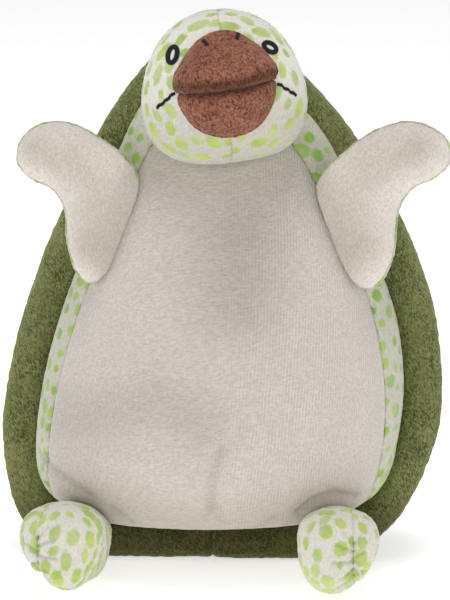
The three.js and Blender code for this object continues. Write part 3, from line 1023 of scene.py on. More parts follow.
@dataclass(frozen=True)
class PlushFinish:
    """A short plush: its pile, how it lies, and what is printed on it."""

    name: str
    tip: Colour
    root: Colour
    tuft: float
    relief: float
    stretch: float
    contrast: float
    patch_share: float
    sheen: float
    sheen_colour: Colour = WHITE
    crush: Crush = Crush.BRUSHED
    ribs: Ribs | None = None
    ink: Ink | None = None
    patch: float = 14 * MM
    patches: Range = (0.3, 0.7)
    patch_cover: float = 4.0
    patch_depth: float = 2.0
    lay: float = 7 * MM
    lays: Range = (0.4, 0.6)
    clump: float = 4.0
    hair: float = 0.5
    calm: float = 0.15
    calm_size: float = 13 * MM
    calms: Range = (0.48, 0.62)

    def dress(self) -> Material:
        """Builds the finish's material.

        Returns:
            The material.
        """
        graph = Graph(self.name)
        where = graph.coordinates()
        pile = self.crushed if self.crush is Crush.CRUSHED else self.brushed
        height = pile(graph, where)
        patches = graph.noise(where, self.patch, detail=3.0, rough=0.55, swirl=0.6)
        half = PILE_SPREAD / self.contrast
        colour = graph.blend(height.between(0.5 - half, 0.5 + half), self.root, self.tip)
        darker = tuple((1 - self.patch_depth * self.patch_share) * part for part in self.root)
        cover = self.patch_share * self.patch_cover * (1 - patches.between(*self.patches))
        colour = graph.blend(cover, colour, darker)
        # Painted shade: the colour is blended towards a darker, warmer copy where the points hold painted
        # shade
        deep = graph.node("ShaderNodeVectorMath", {"operation": "MULTIPLY"}, colour, PAINTED_SHADE_TINT)
        colour = graph.blend(graph.attribute("hollow", 2), colour, deep)
        if self.ink:
            colour = self.ink.over(graph, where, colour, height)
        normal = graph.relief(height, self.relief)
        rough = ROOT_ROUGHNESS - TIP_SMOOTHNESS * height
        return graph.cloth(colour, rough, normal, self.sheen, self.sheen_colour)

    def brushed(self, graph: Graph, where: Wire) -> Wire:
        """Gives the height of a pile that lies one way, from 0 at its roots to 1 at its tips.

        Args:
            graph: The material's nodes.
            where: The piece's own coordinates.

        Returns:
            The height.
        """
        run = graph.stretched(where, UNTURNED, (1.0, 1.0, 1 / self.stretch))
        coarse = graph.noise(run, self.tuft, rough=0.6, swirl=0.3)
        fine = graph.noise(run, FINE_TUFT * self.tuft, 1.0)
        height = TUFT_SHARE * coarse + (1 - TUFT_SHARE) * fine
        return self.ribs.over(graph, where, height) if self.ribs else height

    def crushed(self, graph: Graph, where: Wire) -> Wire:
        """Gives the height of a pile that lies in short strokes, this way and that.

        Args:
            graph: The material's nodes.
            where: The piece's own coordinates.

        Returns:
            The height.
        """
        strokes = [
            graph.noise(graph.stretched(where, turn, (1.0, 1.0, 1 / self.stretch)),
                        self.tuft, detail=1.5, rough=0.55, swirl=0.5)
            for turn in STROKE_TURNS
        ]
        side = graph.noise(where, self.lay, 1.0).between(*self.lays)
        coarse = strokes[0] * side + strokes[1] * (1 - side)
        clumps = graph.noise(where, self.clump * self.tuft, 1.0)
        hairs = graph.noise(where, self.hair * self.tuft, 1.0)
        shares = CRUSHED_SHARES
        height = shares[0] * coarse + shares[1] * clumps + shares[2] * hairs
        calm = graph.noise(where, self.calm_size, 1.0).between(*self.calms)
        return height + (CALM_HEIGHT - height) * (calm * self.calm)


@dataclass(frozen=True)
class ThreadFinish:
    """Embroidery thread with a faint shine along its strands."""

    name: str
    colour: Colour
    shine: float = 0.021
    strand: float = 0.25 * MM
    strands: Range = (0.35, 0.7)
    relief: float = 0.05 * MM
    strength: float = 0.6
    rough: float = 0.75
    gloss: float = 0.3
    sheen: float = 0.1

    def dress(self) -> Material:
        """Builds the finish's material.

        Returns:
            The material.
        """
        graph = Graph(self.name)
        strands = graph.noise(graph.coordinates(), self.strand)
        # The shine is partly a painted highlight, a lighter colour along the strands, and partly a lower
        # roughness there
        lighter = tuple(part + self.shine for part in self.colour)
        colour = graph.blend(strands.between(*self.strands), self.colour, lighter)
        normal = graph.relief(strands, self.relief, self.strength)
        return graph.cloth(colour, self.rough - self.gloss * strands, normal, self.sheen)


SHELL_PLUSH = PlushFinish(
    "green_plush", tip=(0.26, 0.272, 0.11), root=(0.062, 0.075, 0.02), tuft=0.5 * MM,
    relief=0.9 * MM, crush=Crush.CRUSHED, stretch=3.0, contrast=2.9, patch_share=0.05, sheen=0.65,
    sheen_colour=(0.62, 0.66, 0.32), calm=0.4)
BELLY_PLUSH = PlushFinish(
    "cream_plush", tip=(0.665, 0.62, 0.58), root=(0.52, 0.475, 0.43), tuft=0.55 * MM,
    relief=0.4 * MM, stretch=2.5, contrast=2.0, patch_share=0.03, sheen=0.8,
    sheen_colour=(1.0, 0.96, 0.92), ribs=Ribs(1.15 * MM))
# The belly's cream plush again, lighter: painted light on the flippers' palms
LIT_CREAM_PLUSH = PlushFinish(
    "flipper_plush", tip=(0.82, 0.76, 0.71), root=(0.64, 0.58, 0.53), tuft=0.7 * MM,
    relief=0.45 * MM, stretch=1.6, contrast=1.9, patch_share=0.04, sheen=0.9,
    sheen_colour=(1.0, 0.96, 0.92))
HEAD_PLUSH = PlushFinish(
    "spotted_plush", tip=(0.84, 0.82, 0.77), root=(0.66, 0.64, 0.58), tuft=0.8 * MM,
    relief=0.4 * MM, stretch=1.5, contrast=1.3, patch_share=0.025, sheen=0.7,
    ink=Ink((0.50, 0.60, 0.14), (0.34, 0.49, 0.09)))
# The spotted plush again, darker and greener: painted shade for the trunk's sides and back and the flippers'
# backs
SHADED_SPOTTED_PLUSH = PlushFinish(
    "spotted_side_plush", tip=(0.65, 0.635, 0.54), root=(0.48, 0.465, 0.39), tuft=0.8 * MM,
    relief=0.4 * MM, stretch=1.5, contrast=1.7, patch_share=0.03, sheen=0.6,
    ink=Ink((0.37, 0.53, 0.10), (0.22, 0.42, 0.05)))
BEAK_PLUSH = PlushFinish(
    "brown_plush", tip=(0.465, 0.205, 0.133), root=(0.12, 0.038, 0.023), tuft=0.75 * MM,
    relief=1.0 * MM, crush=Crush.CRUSHED, stretch=1.7, contrast=2.2, patch_share=0.08, sheen=0.4,
    sheen_colour=(0.9, 0.6, 0.48))
BLACK_THREAD = ThreadFinish("black_thread", (0.008, 0.008, 0.01))
WHITE_THREAD = ThreadFinish("white_thread", (0.82, 0.82, 0.80))


class Wardrobe:
    """Makes each finish's material once."""

    def __init__(self) -> None:
        """Starts with no materials made."""
        self.made: dict[str, Material] = {}

    def put_on(self, piece: Object, finish: PlushFinish | ThreadFinish) -> None:
        """Dresses a piece in a finish.

        Args:
            piece: The piece.
            finish: What it is dressed in.
        """
        if finish.name not in self.made:
            self.made[finish.name] = finish.dress()
        piece.data.materials.clear()
        piece.data.materials.append(self.made[finish.name])


@dataclass
class Workshop:
    """What every part of the toy is made with."""

    frame: dict[str, Any]
    posture: Posture
    wardrobe: Wardrobe = field(default_factory=Wardrobe)
    lining: float = 0.7 * MM

    def finish(self, bm: BMesh, name: str, settle: Callable[[Points], Points],
               finish: PlushFinish | ThreadFinish, slot: str, fill: float | None,
               nodes: Sequence[str], lined: bool = True) -> Object:
        """Makes a piece of a mesh in its place.

        Args:
            bm: The mesh, which is used up.
            name: The piece's name.
            settle: Takes the mesh's points to the part's frame.
            finish: What it is dressed in.
            slot: The record's material slot; not used.
            fill: How full a stuffed piece is, or None for thread.
            nodes: The part's nodes that it stands for.
            lined: Whether a stuffed piece has an open edge, and so a cloth's thickness.

        Returns:
            The piece.
        """
        place(bm.verts, settle(coords(bm)))
        piece = linked(bm, name)
        if fill is not None:
            if lined:
                lining = piece.modifiers.new("lining", "SOLIDIFY")
                lining.thickness = self.lining
                lining.offset = -1.0
        self.wardrobe.put_on(piece, finish)
        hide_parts(*nodes)
        log.info("%s: %d faces", name, len(piece.data.polygons))
        return piece

    def joint(self, name: str) -> dict[str, Any]:
        """Gives a joint of the part by name."""
        return next(joint for joint in self.frame["joints"] if joint["name"] == name)


# The trunk


@dataclass
class Body:
    """The trunk: a cream belly panel between spotted side panels, and the hidden back."""

    shop: Workshop
    form: StuffedForm = StuffedForm(
        rows=((0, 0, 0), (0.02, 0.56, 0.36), (0.055, 0.83, 0.68), (0.12, 0.97, 0.89), (0.22, 1, 1),
              (0.34, 0.985, 0.99), (0.46, 0.92, 0.92), (0.6, 0.79, 0.76), (0.75, 0.66, 0.55),
              (0.87, 0.51, 0.33), (0.95, 0.32, 0.15), (1, 0, 0)),
        bottom=13 * MM, height=167 * MM, half_width=65 * MM, front=48 * MM, back=30 * MM,
        middle_y=-12.8 * MM)
    belly_shares: tuple[tuple[float, float], ...] = (
        (0.66, -0.1), (0.72, 0.02), (0.86, 0.08), (0.89, 0.13), (0.905, 0.2), (0.9, 0.28),
        (0.875, 0.36), (0.83, 0.44), (0.76, 0.53), (0.67, 0.6), (0.56, 0.7), (0.45, 0.79),
        (0.33, 0.88), (0.2, 1.1))
    back_seam_depth: float = 9 * MM
    outline_steps: int = 160
    seam: SeamRoll = SeamRoll(width=2.2 * MM, depth=0.8 * MM)
    stuffing: Stuffing = Stuffing(voxel=2.2 * MM, reach=1.2 * MM)
    fullness: float = 0.8
    print: SpotPrint = SpotPrint(spacing=6.2 * MM, radius=1.9 * MM, stretch=1.5, seed=11)
    lumps: tuple[Lumps, ...] = (Lumps(26 * MM, 0.8 * MM, 4.0), Lumps(2.4 * MM, 0.15 * MM, 5.0))
    clearance: float = 0.3 * MM

    def outline(self) -> Points:
        """Gives the belly panel's closed outline, seen from the front.

        Returns:
            The outline's points, across and up.
        """
        half = [(self.form.half_width * x, self.form.bottom + self.form.height * z)
                for x, z in self.belly_shares]
        return closed_curve(half + [(-x, z) for x, z in reversed(half)], self.outline_steps)

    def build(self) -> None:
        """Shapes and sews the trunk."""
        whole = self.stuffing.fill(self.form.build())
        self.crease(whole)
        for lumps in self.lumps:
            lumps.swell(whole)
        outline = self.outline()
        back_line = self.form.middle_y + self.back_seam_depth

        def in_belly(points: Points) -> Points:
            """Measures how far points lie inside the belly panel."""
            return np.minimum(inside_distance(outline, points[:, [0, 2]]), back_line - points[:, 1])

        belly = self.seam.cut(whole, in_belly)
        self.weave(belly)
        self.dress(belly, "belly", BELLY_PLUSH, "belly_plush",
                   ["belly_panel", "body_stuffing", "pellet_bag"])
        for side in Side:
            def in_side(points: Points, side: Side = side) -> Points:
                """Measures how far points lie inside a side panel."""
                off_belly = -inside_distance(outline, points[:, [0, 2]])
                front = np.minimum(off_belly, back_line - points[:, 1])
                return np.minimum(front, side.value * points[:, 0])

            panel = self.seam.cut(whole, in_side)
            self.print.mark(panel, lambda points, outward: np.cross(upright(points, outward), outward))
            self.dress(panel, f"side_{side.hand}", SHADED_SPOTTED_PLUSH, "spotted_plush",
                       [f"side_panel_{side.hand}"])
        back = self.seam.cut(whole, lambda points: points[:, 1] - back_line)
        self.print.mark(back, upright)
        self.dress(back, "body_back", SHADED_SPOTTED_PLUSH, "spotted_plush", ["back_panel"])
        whole.free()

    def crease(self, whole: BMesh) -> None:
        """Presses the folds over the feet, the faint middle crease and the dent in the chest, with painted
        shade along them, and paints a shadow under the head and shade along the bottom.

        Args:
            whole: The filled trunk.
        """
        # Each fold's line across and up, its width and its depth in millimetres, and its painted shade; a
        # depth of 0 is painted shade alone
        folds = [
            (((3, 54), (1, 42), (2, 30)), 2.2, 0.7, 0.2),
            (((8, 126), (5, 104)), 15.0, 1.7, 0.24),
            (((-30, 146), (36, 144)), 12.0, 0.0, 0.16),
            (((-52, 60), (-20, 70), (-4, 62)), 11.0, 0.8, 0.2),
            (((-42, 26), (0, 23), (42, 26)), 13.0, 0.0, 0.25),
            (((-60, 42), (-50, 38), (-41, 33)), 1.7, 1.3, 0.2),
            (((-58, 36), (-48, 32)), 3.0, -0.9, 0.0),
            (((32, 29), (36, 33.5), (43, 35.5), (51, 32)), 1.3, 1.6, 0.26),
            (((37, 29), (47, 30)), 2.8, -1.3, 0.0),
            (((-33, 29), (-26, 23)), 1.8, 0.9, 0.2),
            (((24, 26), (20, 21)), 1.6, 0.7, 0.2),
        ]
        creases = [
            Crease(tuple((x * MM, 0.0, z * MM) for x, z in line), width * MM, depth * MM, True, shade)
            for line, width, depth, shade in folds
        ]
        press_all(whole, creases)

    def weave(self, belly: BMesh) -> None:
        """Stores where each point lies on the belly's cloth, across and up.

        Args:
            belly: The belly panel.
        """
        points = coords(belly)
        line = self.form.profile(FINE_ROWS)
        width = np.maximum(np.interp(points[:, 2], line[:, 0], line[:, 1]), MM)
        across = width * np.arcsin(np.clip(points[:, 0] / width, -1, 1))
        places = np.stack([across, points[:, 2], np.zeros(len(points))], axis=1)
        store(belly, belly.verts.layers.float_vector.new("weave"), places)

    def dress(self, bm: BMesh, name: str, finish: PlushFinish, slot: str,
              nodes: Sequence[str]) -> None:
        """Makes a panel of the trunk."""
        piece = self.shop.finish(bm, name, self.shop.posture.settle, finish, slot, self.fullness, nodes)
        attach(piece, "trunk")

    def outside(self, points: Points) -> Points:
        """Measures how far points of the part's frame lie outside the trunk."""
        return self.form.outside(self.shop.posture.straighten(points))

    def clear(self, points: Points, rounds: int = 4) -> Points:
        """Moves points of the part's frame that lie in the trunk out to its surface.

        Args:
            points: The points.
            rounds: How often they are moved at most.

        Returns:
            The points, clear of the trunk.
        """
        for _ in range(rounds):
            depth = self.outside(points)
            deep = depth < self.clearance
            if not deep.any():
                break
            step = (self.clearance - depth[deep])[:, None] * slope_of(self.outside, points[deep])
            points = points.copy()
            points[deep] += step
        return points


def upright(points: Points, outward: Points) -> Points:
    """Gives the way up along a surface at each point."""
    return unit(np.array([0.0, 0.0, 1.0]) - outward * outward[:, 2:3])


@dataclass
class Shell:
    """The padded shell: a dome with a stuffed roll round its rim, sewn along a middle seam."""

    shop: Workshop
    body: Body
    height: float = 193.5 * MM
    half_width: float = 79 * MM
    depth: float = 44 * MM
    rim_y: float = -8 * MM
    roll: float = 7.8 * MM
    top_swell_share: float = 0.22
    swell_from: float = 95 * MM
    swell_over: float = 60 * MM
    recess: float = 2.4 * MM
    flat_depth: float = 0.5 * MM
    centre_share: float = 0.3
    squareness: float = 2.8
    sag_share: float = 0.75
    around: int = 168
    roll_steps: int = 9
    dome_steps: int = 18
    outline_shares: tuple[tuple[float, float], ...] = (
        (0, 1), (0.125, 0.985), (0.24, 0.955), (0.34, 0.914), (0.44, 0.87), (0.575, 0.793),
        (0.756, 0.654), (0.86, 0.556), (0.955, 0.425), (0.998, 0.29), (0.985, 0.217),
        (0.94, 0.14), (0.86, 0.072), (0.72, 0.022), (0.52, 0.002), (0.25, 0))
    overlap: float = 0.6 * MM
    seam: SeamRoll = SeamRoll(width=2.0 * MM, depth=1.0 * MM)
    seam_shift: float = 4 * MM
    shift_height: float = 45 * MM
    # Painted shade along the middle seam, and how wide it is
    seam_shade: float = 0.7
    seam_shade_width: float = 1.2 * MM
    stuffing: Stuffing = Stuffing(voxel=2.1 * MM, reach=1.0 * MM)
    fullness: float = 0.7
    # Painted shade on the lower roll, down from a height
    shade: Shade = Shade(share=0.85, top=30.8 * MM, over=22 * MM)
    lumps: tuple[Lumps, ...] = (Lumps(22 * MM, 0.55 * MM, 9.0), Lumps(2.4 * MM, 0.4 * MM, 2.0))
    plate_line: float = 1.3 * MM
    plate_steps: int = 60
    plate_seed: int = 40

    def outline(self, inset: float) -> Points:
        """Gives the rim's outline, drawn in by a distance.

        Args:
            inset: The distance.

        Returns:
            The outline's points, across and up.
        """
        half = [(self.half_width * x, self.height * z - self.flat_depth)
                for x, z in self.outline_shares]
        controls = half + [(-x, z) for x, z in reversed(half[1:])]
        line = closed_curve(controls, self.around)
        along = unit(np.roll(line, -1, 0) - np.roll(line, 1, 0))
        high = smoothly((line[:, 1:] - self.swell_from) / self.swell_over)
        wide = 1 + self.top_swell_share * high
        return line + inset * wide * np.stack([along[:, 1], -along[:, 0]], axis=1)

    def ring(self, inset: float, y: float, scale: float = 1.0) -> Points:
        """Gives one ring of the shell, drawn in towards its middle by a scale.

        Args:
            inset: How far the rim's outline is drawn in.
            y: How far behind the rim the ring lies.
            scale: Its size as a share of the rim's.

        Returns:
            The ring's points.
        """
        flat = self.outline(inset)
        centre = self.height * self.centre_share
        rise = flat[:, 1] - centre
        low_scale = 1 - (1 - scale) * self.sag_share
        z = centre + rise * np.where(rise < 0, low_scale, scale)
        return np.stack([flat[:, 0] * scale, np.full(len(flat), self.rim_y + y), z], axis=1)

    def rings(self) -> list[Points]:
        """Gives the rings from the recessed front over the roll to the top of the dome.

        Returns:
            The rings in order.
        """
        made = [self.ring(2 * self.roll, self.recess)]
        for step in range(self.roll_steps, -1, -1):
            turn = math.pi * step / self.roll_steps
            made.append(self.ring(self.roll * (1 - math.cos(turn)), -self.roll * math.sin(turn)))
        for step in range(1, self.dome_steps):
            share = math.sin(math.pi / 2 * step / self.dome_steps)
            scale = (1 - share**self.squareness) ** (1 / self.squareness)
            made.append(self.ring(0.0, self.depth * share, scale))
        return made

    def build(self) -> None:
        """Shapes and sews the shell."""
        whole = self.stuffing.fill(stacked(self.rings()))
        points = coords(whole)
        points[:, 2] = np.maximum(points[:, 2], 0.0)
        place(whole.verts, points)
        self.shade.lay(whole)
        for lumps in self.lumps:
            lumps.swell(whole)
        for side in Side:
            def on_side(points: Points, side: Side = side) -> Points:
                """Measures how far points lie on the panel's side of the middle seam."""
                low = smoothly(1.0 - points[:, 2] / self.shift_height)
                return side.value * (points[:, 0] - self.seam_shift * low)

            def in_panel(points: Points, side: Side = side) -> Points:
                """Measures how far points lie inside the panel."""
                off_body = self.body.form.outside(points) + self.overlap
                return np.minimum(on_side(points, side), off_body)

            panel = self.seam.cut(whole, in_panel, on_side)
            # Painted shade along the middle seam
            beside = on_side(coords(panel)) / self.seam_shade_width
            darken(panel, self.seam_shade * np.exp(-(beside**2)))
            nodes = [f"shell_panel_{side.hand}"] + (["shell_padding"] if side is Side.LEFT else [])
            piece = self.shop.finish(panel, f"shell_{side.hand}", self.settle, SHELL_PLUSH,
                                     "shell_plush", self.fullness, nodes)
            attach(piece, "trunk")
        self.stitch_scutes(BVHTree.FromBMesh(whole))
        whole.free()

    def stitch_scutes(self, surface: BVHTree) -> None:
        """Stitches the outlines of the shell's plates on the dome.

        Args:
            surface: The shell's surface.
        """
        satin = Satin(pitch=0.42 * MM, sides=5, rows=4)
        for number, line in enumerate(self.scute_lines()):
            bm = bmesh.new()
            hits = [surface.ray_cast(Vector((x, BEHIND_TOY, z)), Vector((0, -1, 0)))[0]
                    for x, z in line]
            path = np.array([hit[:] for hit in hits])
            satin.run(bm, surface, path, self.plate_line, self.plate_seed + number)
            piece = self.shop.finish(bm, f"scute_line_{number:02d}", self.settle, BLACK_THREAD,
                                     "black_thread", None, [])
            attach(piece, "trunk")

    def scute_lines(self) -> list[Points]:
        """Gives the plates' outlines, seen from behind, as finely spaced flat points.

        Returns:
            The lines.
        """
        size = np.array([self.half_width, self.height])
        waists = ((0.13, 0.845), (0.15, 0.615), (0.17, 0.385), (0.13, 0.16))
        bulges = ((0.27, 0.73), (0.31, 0.50), (0.31, 0.275))
        ends = ((0.57, 0.775), (0.84, 0.505), (0.955, 0.335))
        lines = [((-x, z), (x, z)) for x, z in waists]
        for s in (1, -1):
            spine = [waists[0]]
            for bulge, waist in zip(bulges, waists[1:]):
                spine += [bulge, waist]
            lines.append([(s * x, z) for x, z in spine])
            lines += [((s * a[0], a[1]), (s * b[0], b[1])) for a, b in zip(bulges, ends)]
            lines.append(((s * waists[0][0], waists[0][1]), (s * 0.2, 0.915)))
            lines.append(((s * waists[-1][0], waists[-1][1]), (s * 0.42, 0.055)))
        return [evenly(np.array(line) * size, self.plate_steps) for line in lines]

    def settle(self, points: Points) -> Points:
        """Takes the shell's points into the posture and onto the floor.

        Args:
            points: The points.

        Returns:
            The settled points.
        """
        settled = self.shop.posture.settle(points)
        settled[:, 2] = np.maximum(settled[:, 2], 0.0)
        return settled


# The head


@dataclass(frozen=True)
class HeadPlace:
    """Where the head sits on its neck, and how it is tilted."""

    above_neck: float = 23.5 * MM
    before_neck: float = 10 * MM
    beside_neck: float = -2.2 * MM
    lift: float = 8.5
    roll: float = 4.7
    turn: float = 7.0

    def matrix(self, pivot: Sequence[float]) -> Matrix:
        """Gives the head's frame from the neck's pivot.

        Args:
            pivot: The neck's pivot.

        Returns:
            The frame.
        """
        angles = [math.radians(angle) for angle in (-self.lift, -self.roll, self.turn)]
        tilt = Euler(angles, "XYZ").to_matrix().to_4x4()
        offset = Vector((self.beside_neck, -self.before_neck, self.above_neck))
        return Matrix.Translation(Vector(pivot) + offset) @ tilt


@dataclass
class Head:
    """The spotted head, sewn down the middle, with its two beak pads."""

    shop: Workshop
    body: Body
    where: HeadPlace = HeadPlace()
    form: StuffedForm = StuffedForm(
        rows=((-1, 0), (-0.93, 0.52), (-0.8, 0.77), (-0.55, 0.95), (-0.15, 1), (0.2, 0.93),
              (0.5, 0.8), (0.74, 0.62), (0.92, 0.35), (1, 0)),
        bottom=0.0, height=26.5 * MM, half_width=28.5 * MM, front=23 * MM, back=23 * MM,
        squareness=2.1)
    beak_y: float = -16.56 * MM
    mouth: float = -2.4 * MM
    smile: float = 2.2 * MM
    smile_half_width: float = 18 * MM
    smile_above: float = 20 * MM
    smile_below: float = 16 * MM
    mouth_slope: float = 0.06
    # The mouth's fold with its painted shade, and the darker band below it
    fold_rise: float = 1.9 * MM
    fold_width: float = 2.4 * MM
    fold_shade: float = 0.9
    lower_shade: float = 0.2
    lower_fade: float = 4 * MM
    seam: SeamRoll = SeamRoll(width=1.2 * MM, depth=0.1 * MM, gap=0.0)
    stuffing: Stuffing = Stuffing(voxel=1.5 * MM, reach=0.6 * MM)
    pad_stuffing: Stuffing = Stuffing(voxel=1.1 * MM, reach=0.5 * MM)
    fullness: float = 0.85
    pad_fullness: float = 0.9
    print: SpotPrint = SpotPrint(spacing=6.4 * MM, radius=1.8 * MM, stretch=1.8, seed=5)
    # Painted shade under the chin, down from a height
    shade: Shade = Shade(share=0.42, top=5 * MM, over=26 * MM)
    lumps: tuple[Lumps, ...] = (Lumps(16 * MM, 0.35 * MM, 1.0), Lumps(1.4 * MM, 0.3 * MM, 7.0))
    pad_lumps: tuple[Lumps, ...] = (Lumps(7 * MM, 0.3 * MM, 6.0), Lumps(1.6 * MM, 0.35 * MM, 8.0))
    pad_gap: float = 0.2 * MM
    bend_below: float = 6 * MM
    bend_above: float = 9 * MM

    def __post_init__(self) -> None:
        """Reads the neck's pivot."""
        self.frame = self.where.matrix(self.shop.joint("head_nod")["pos_m"])

    def settle(self, points: Points) -> Points:
        """Takes the head's points to the part's frame, clear of the trunk."""
        return self.body.clear(moved(points, self.frame))

    def build(self) -> None:
        """Shapes and sews the head and its beak."""
        whole = self.stuffing.fill(self.form.build(around=48, rows=36))
        for lumps in self.lumps:
            lumps.swell(whole)
        self.shade.lay(whole)
        self.skin = BVHTree.FromBMesh(whole)
        for side in Side:
            def in_panel(points: Points, side: Side = side) -> Points:
                """Measures how far points lie on the panel's side of the middle."""
                return side.value * points[:, 0]

            panel = self.seam.cut(whole, in_panel)
            self.print.mark(panel, self.round_face)
            nodes = [f"head_panel_{side.hand}"] + (["head_stuffing"] if side is Side.LEFT else [])
            piece = self.shop.finish(panel, f"head_{side.hand}", self.settle, HEAD_PLUSH,
                                     "spotted_plush", self.fullness, nodes)
            self.join_neck(piece)
        self.upper = self.pad("beak_top", self.upper_form(), self.upper_lift, ["beak_upper"])
        self.pad("beak_bottom", self.lower_form(), self.lower_lift, ["beak_lower"])

    def laid_on(self, points: Points) -> Points:
        """Brings points that lie in the head forward to its skin.

        Args:
            points: The points of a beak pad.

        Returns:
            The points, with none behind the skin.
        """
        for point in points:
            hit, _ = behind(self.skin, point[0], point[2])
            if hit:
                point[1] = min(point[1], hit.y - self.pad_gap)
        return points

    def join_neck(self, piece: Object) -> None:
        """Lets the cloth at the neck bend between trunk and head.

        Args:
            piece: A panel of the head.
        """
        pivot = Vector(self.shop.joint("head_nod")["pos_m"])
        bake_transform(piece, "trunk", "head", start=pivot - Vector((0, 0, self.bend_below)),
                 end=pivot + Vector((0, 0, self.bend_above)))

    def round_face(self, points: Points, outward: Points) -> Points:
        """Gives the way round the beak along the head at each point."""
        return unit(np.cross(outward, points + np.array([0.0, self.form.front, 0.0])))

    def upper_form(self) -> StuffedForm:
        """Gives the form of the upper beak pad.

        Returns:
            The form.
        """
        return StuffedForm(
            rows=((0, 0, 0), (0.0, 0.92, 0.72), (0.025, 0.96, 0.84), (0.07, 0.985, 0.94), (0.14, 1, 0.99),
                  (0.3, 0.955, 0.97), (0.45, 0.86, 0.86), (0.6, 0.74, 0.73), (0.8, 0.535, 0.5),
                  (0.93, 0.31, 0.28), (1, 0, 0)),
            bottom=self.mouth, height=18.2 * MM - self.mouth, half_width=17.9 * MM,
            front=19.2 * MM, back=19.2 * MM, middle_y=self.beak_y)

    def lower_form(self) -> StuffedForm:
        """Gives the form of the lower beak pad.

        Returns:
            The form.
        """
        return StuffedForm(
            rows=((0, 0, 0), (0.04, 0.28, 0.28), (0.15, 0.52, 0.52), (0.32, 0.715, 0.72),
                  (0.61, 0.895, 0.93), (0.8, 0.965, 1), (0.9, 0.98, 0.97), (0.96, 0.97, 0.89),
                  (1.0, 0.93, 0.74), (1.02, 0, 0)),
            bottom=-17.6 * MM, height=17.7 * MM + self.mouth, half_width=17.2 * MM,
            front=17.2 * MM, back=17.2 * MM, middle_y=self.beak_y)

    def shade_mouth(self, bm: BMesh) -> None:
        """Paints shade on a pad in the mouth's fold, and darkens it a little below the fold.

        Args:
            bm: The pad.
        """
        points = coords(bm)
        above = points[:, 2] - self.mouth - self.smiling(points) - self.fold_rise
        darken(bm, self.fold_shade * np.exp(-((above / self.fold_width) ** 2)))
        darken(bm, self.lower_shade * smoothly(-above / self.lower_fade))

    def upper_lift(self, points: Points) -> Points:
        """Gives how far the smile raises points of the upper pad."""
        fade = np.clip(1 - (points[:, 2] - self.mouth) / self.smile_above, 0, 1)
        return self.smiling(points) * fade

    def lower_lift(self, points: Points) -> Points:
        """Gives how far the smile raises points of the lower pad."""
        fade = np.clip(1 - (self.mouth - points[:, 2]) / self.smile_below, 0, 1)
        return self.smiling(points) * fade

    def smiling(self, points: Points) -> Points:
        """Gives how far the mouth's line rises across the beak."""
        bow = self.smile * (points[:, 0] / self.smile_half_width) ** 2
        return bow + self.mouth_slope * points[:, 0]

    def pad(self, name: str, form: StuffedForm, lift: Distance, nodes: Sequence[str]) -> BVHTree:
        """Makes a beak pad that lies on the head.

        Args:
            name: The piece's name.
            form: Its form.
            lift: How far the smile raises its points.
            nodes: The nodes that it stands for.

        Returns:
            Its surface, for what is sewn on it.
        """
        bm = self.pad_stuffing.fill(form.build(around=40, rows=28))
        points = coords(bm)
        points[:, 2] += lift(points)
        place(bm.verts, self.laid_on(points))
        for lumps in self.pad_lumps:
            lumps.swell(bm)
        self.shade_mouth(bm)
        surface = BVHTree.FromBMesh(bm)
        piece = self.shop.finish(bm, name, self.settle, BEAK_PLUSH, "beak_plush",
                                 self.pad_fullness, nodes, lined=False)
        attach(piece, "head")
        return surface


def behind(surface: BVHTree, x: float, z: float) -> tuple[Vector | None, Vector | None]:
    """Gives the point and the outward way of a surface behind a place on the face plane."""
    point, outward, _, _ = surface.ray_cast(Vector((x, BEFORE_TOY, z)), Vector((0, 1, 0)))
    return point, outward


@dataclass(frozen=True)
class Satin:
    """Satin stitch: short threads side by side across a line."""

    pitch: float = 0.34 * MM
    thread: float = 0.21 * MM
    slant: float = 14.0
    sides: int = 6
    rows: int = 6
    lift: float = 0.05 * MM
    bow_share: float = 0.12
    width_shares: Range = (0.85, 1.12)

    def run(self, bm: BMesh, surface: BVHTree, path: Points, width: float, seed: int) -> None:
        """Stitches a line of satin along a path that lies on a surface.

        Args:
            bm: The mesh that gets the threads.
            surface: The cloth.
            path: The points of the path.
            width: How wide the line is.
            seed: Seeds the unevenness of the threads.
        """
        random = np.random.default_rng(seed)
        length = np.linalg.norm(np.diff(path, axis=0), axis=1).sum()
        stops = evenly(path, max(3, round(length / self.pitch)))
        ways = np.gradient(stops, axis=0)
        slant = math.radians(self.slant)
        for stop, way in zip(stops, ways):
            point, outward, _, _ = surface.find_nearest(Vector(stop))
            way = Vector(way).normalized()
            across = outward.cross(way).normalized() * math.cos(slant) + way * math.sin(slant)
            half = across * (width / 2 * random.uniform(*self.width_shares))
            ends = [surface.find_nearest(point + half * end)[0] for end in (-1, 1)]
            self.stitch(bm, ends[0], ends[1], outward)

    def stitch(self, bm: BMesh, a: Vector, b: Vector, outward: Vector) -> None:
        """Adds one thread between two points, bowed a little off the cloth.

        Args:
            bm: The mesh that gets the thread.
            a: Where the thread starts.
            b: Where it ends.
            outward: The way out of the cloth.
        """
        run = b - a
        verts = bmesh.ops.create_uvsphere(
            bm, u_segments=self.sides, v_segments=self.rows, radius=1.0)["verts"]
        for vert in verts:
            width = self.thread * (1 - vert.co.z**4) / max(1 - vert.co.z**2, 1e-9) ** 0.5
            if abs(vert.co.z) < 0.999:
                vert.co.x *= width
                vert.co.y *= width
            vert.co.z *= run.length / 2
        z_axis = run.normalized()
        y_axis = z_axis.cross(outward).normalized()
        x_axis = y_axis.cross(z_axis)
        turn = Matrix((x_axis, y_axis, z_axis)).transposed()
        bow = self.bow_share * run.length
        for vert in verts:
            share = min(1.0, abs(vert.co.z) / run.length * 2)
            rise = x_axis * (bow * (1 - share**2) + self.lift)
            vert.co = turn @ vert.co + (a + b) / 2 + rise


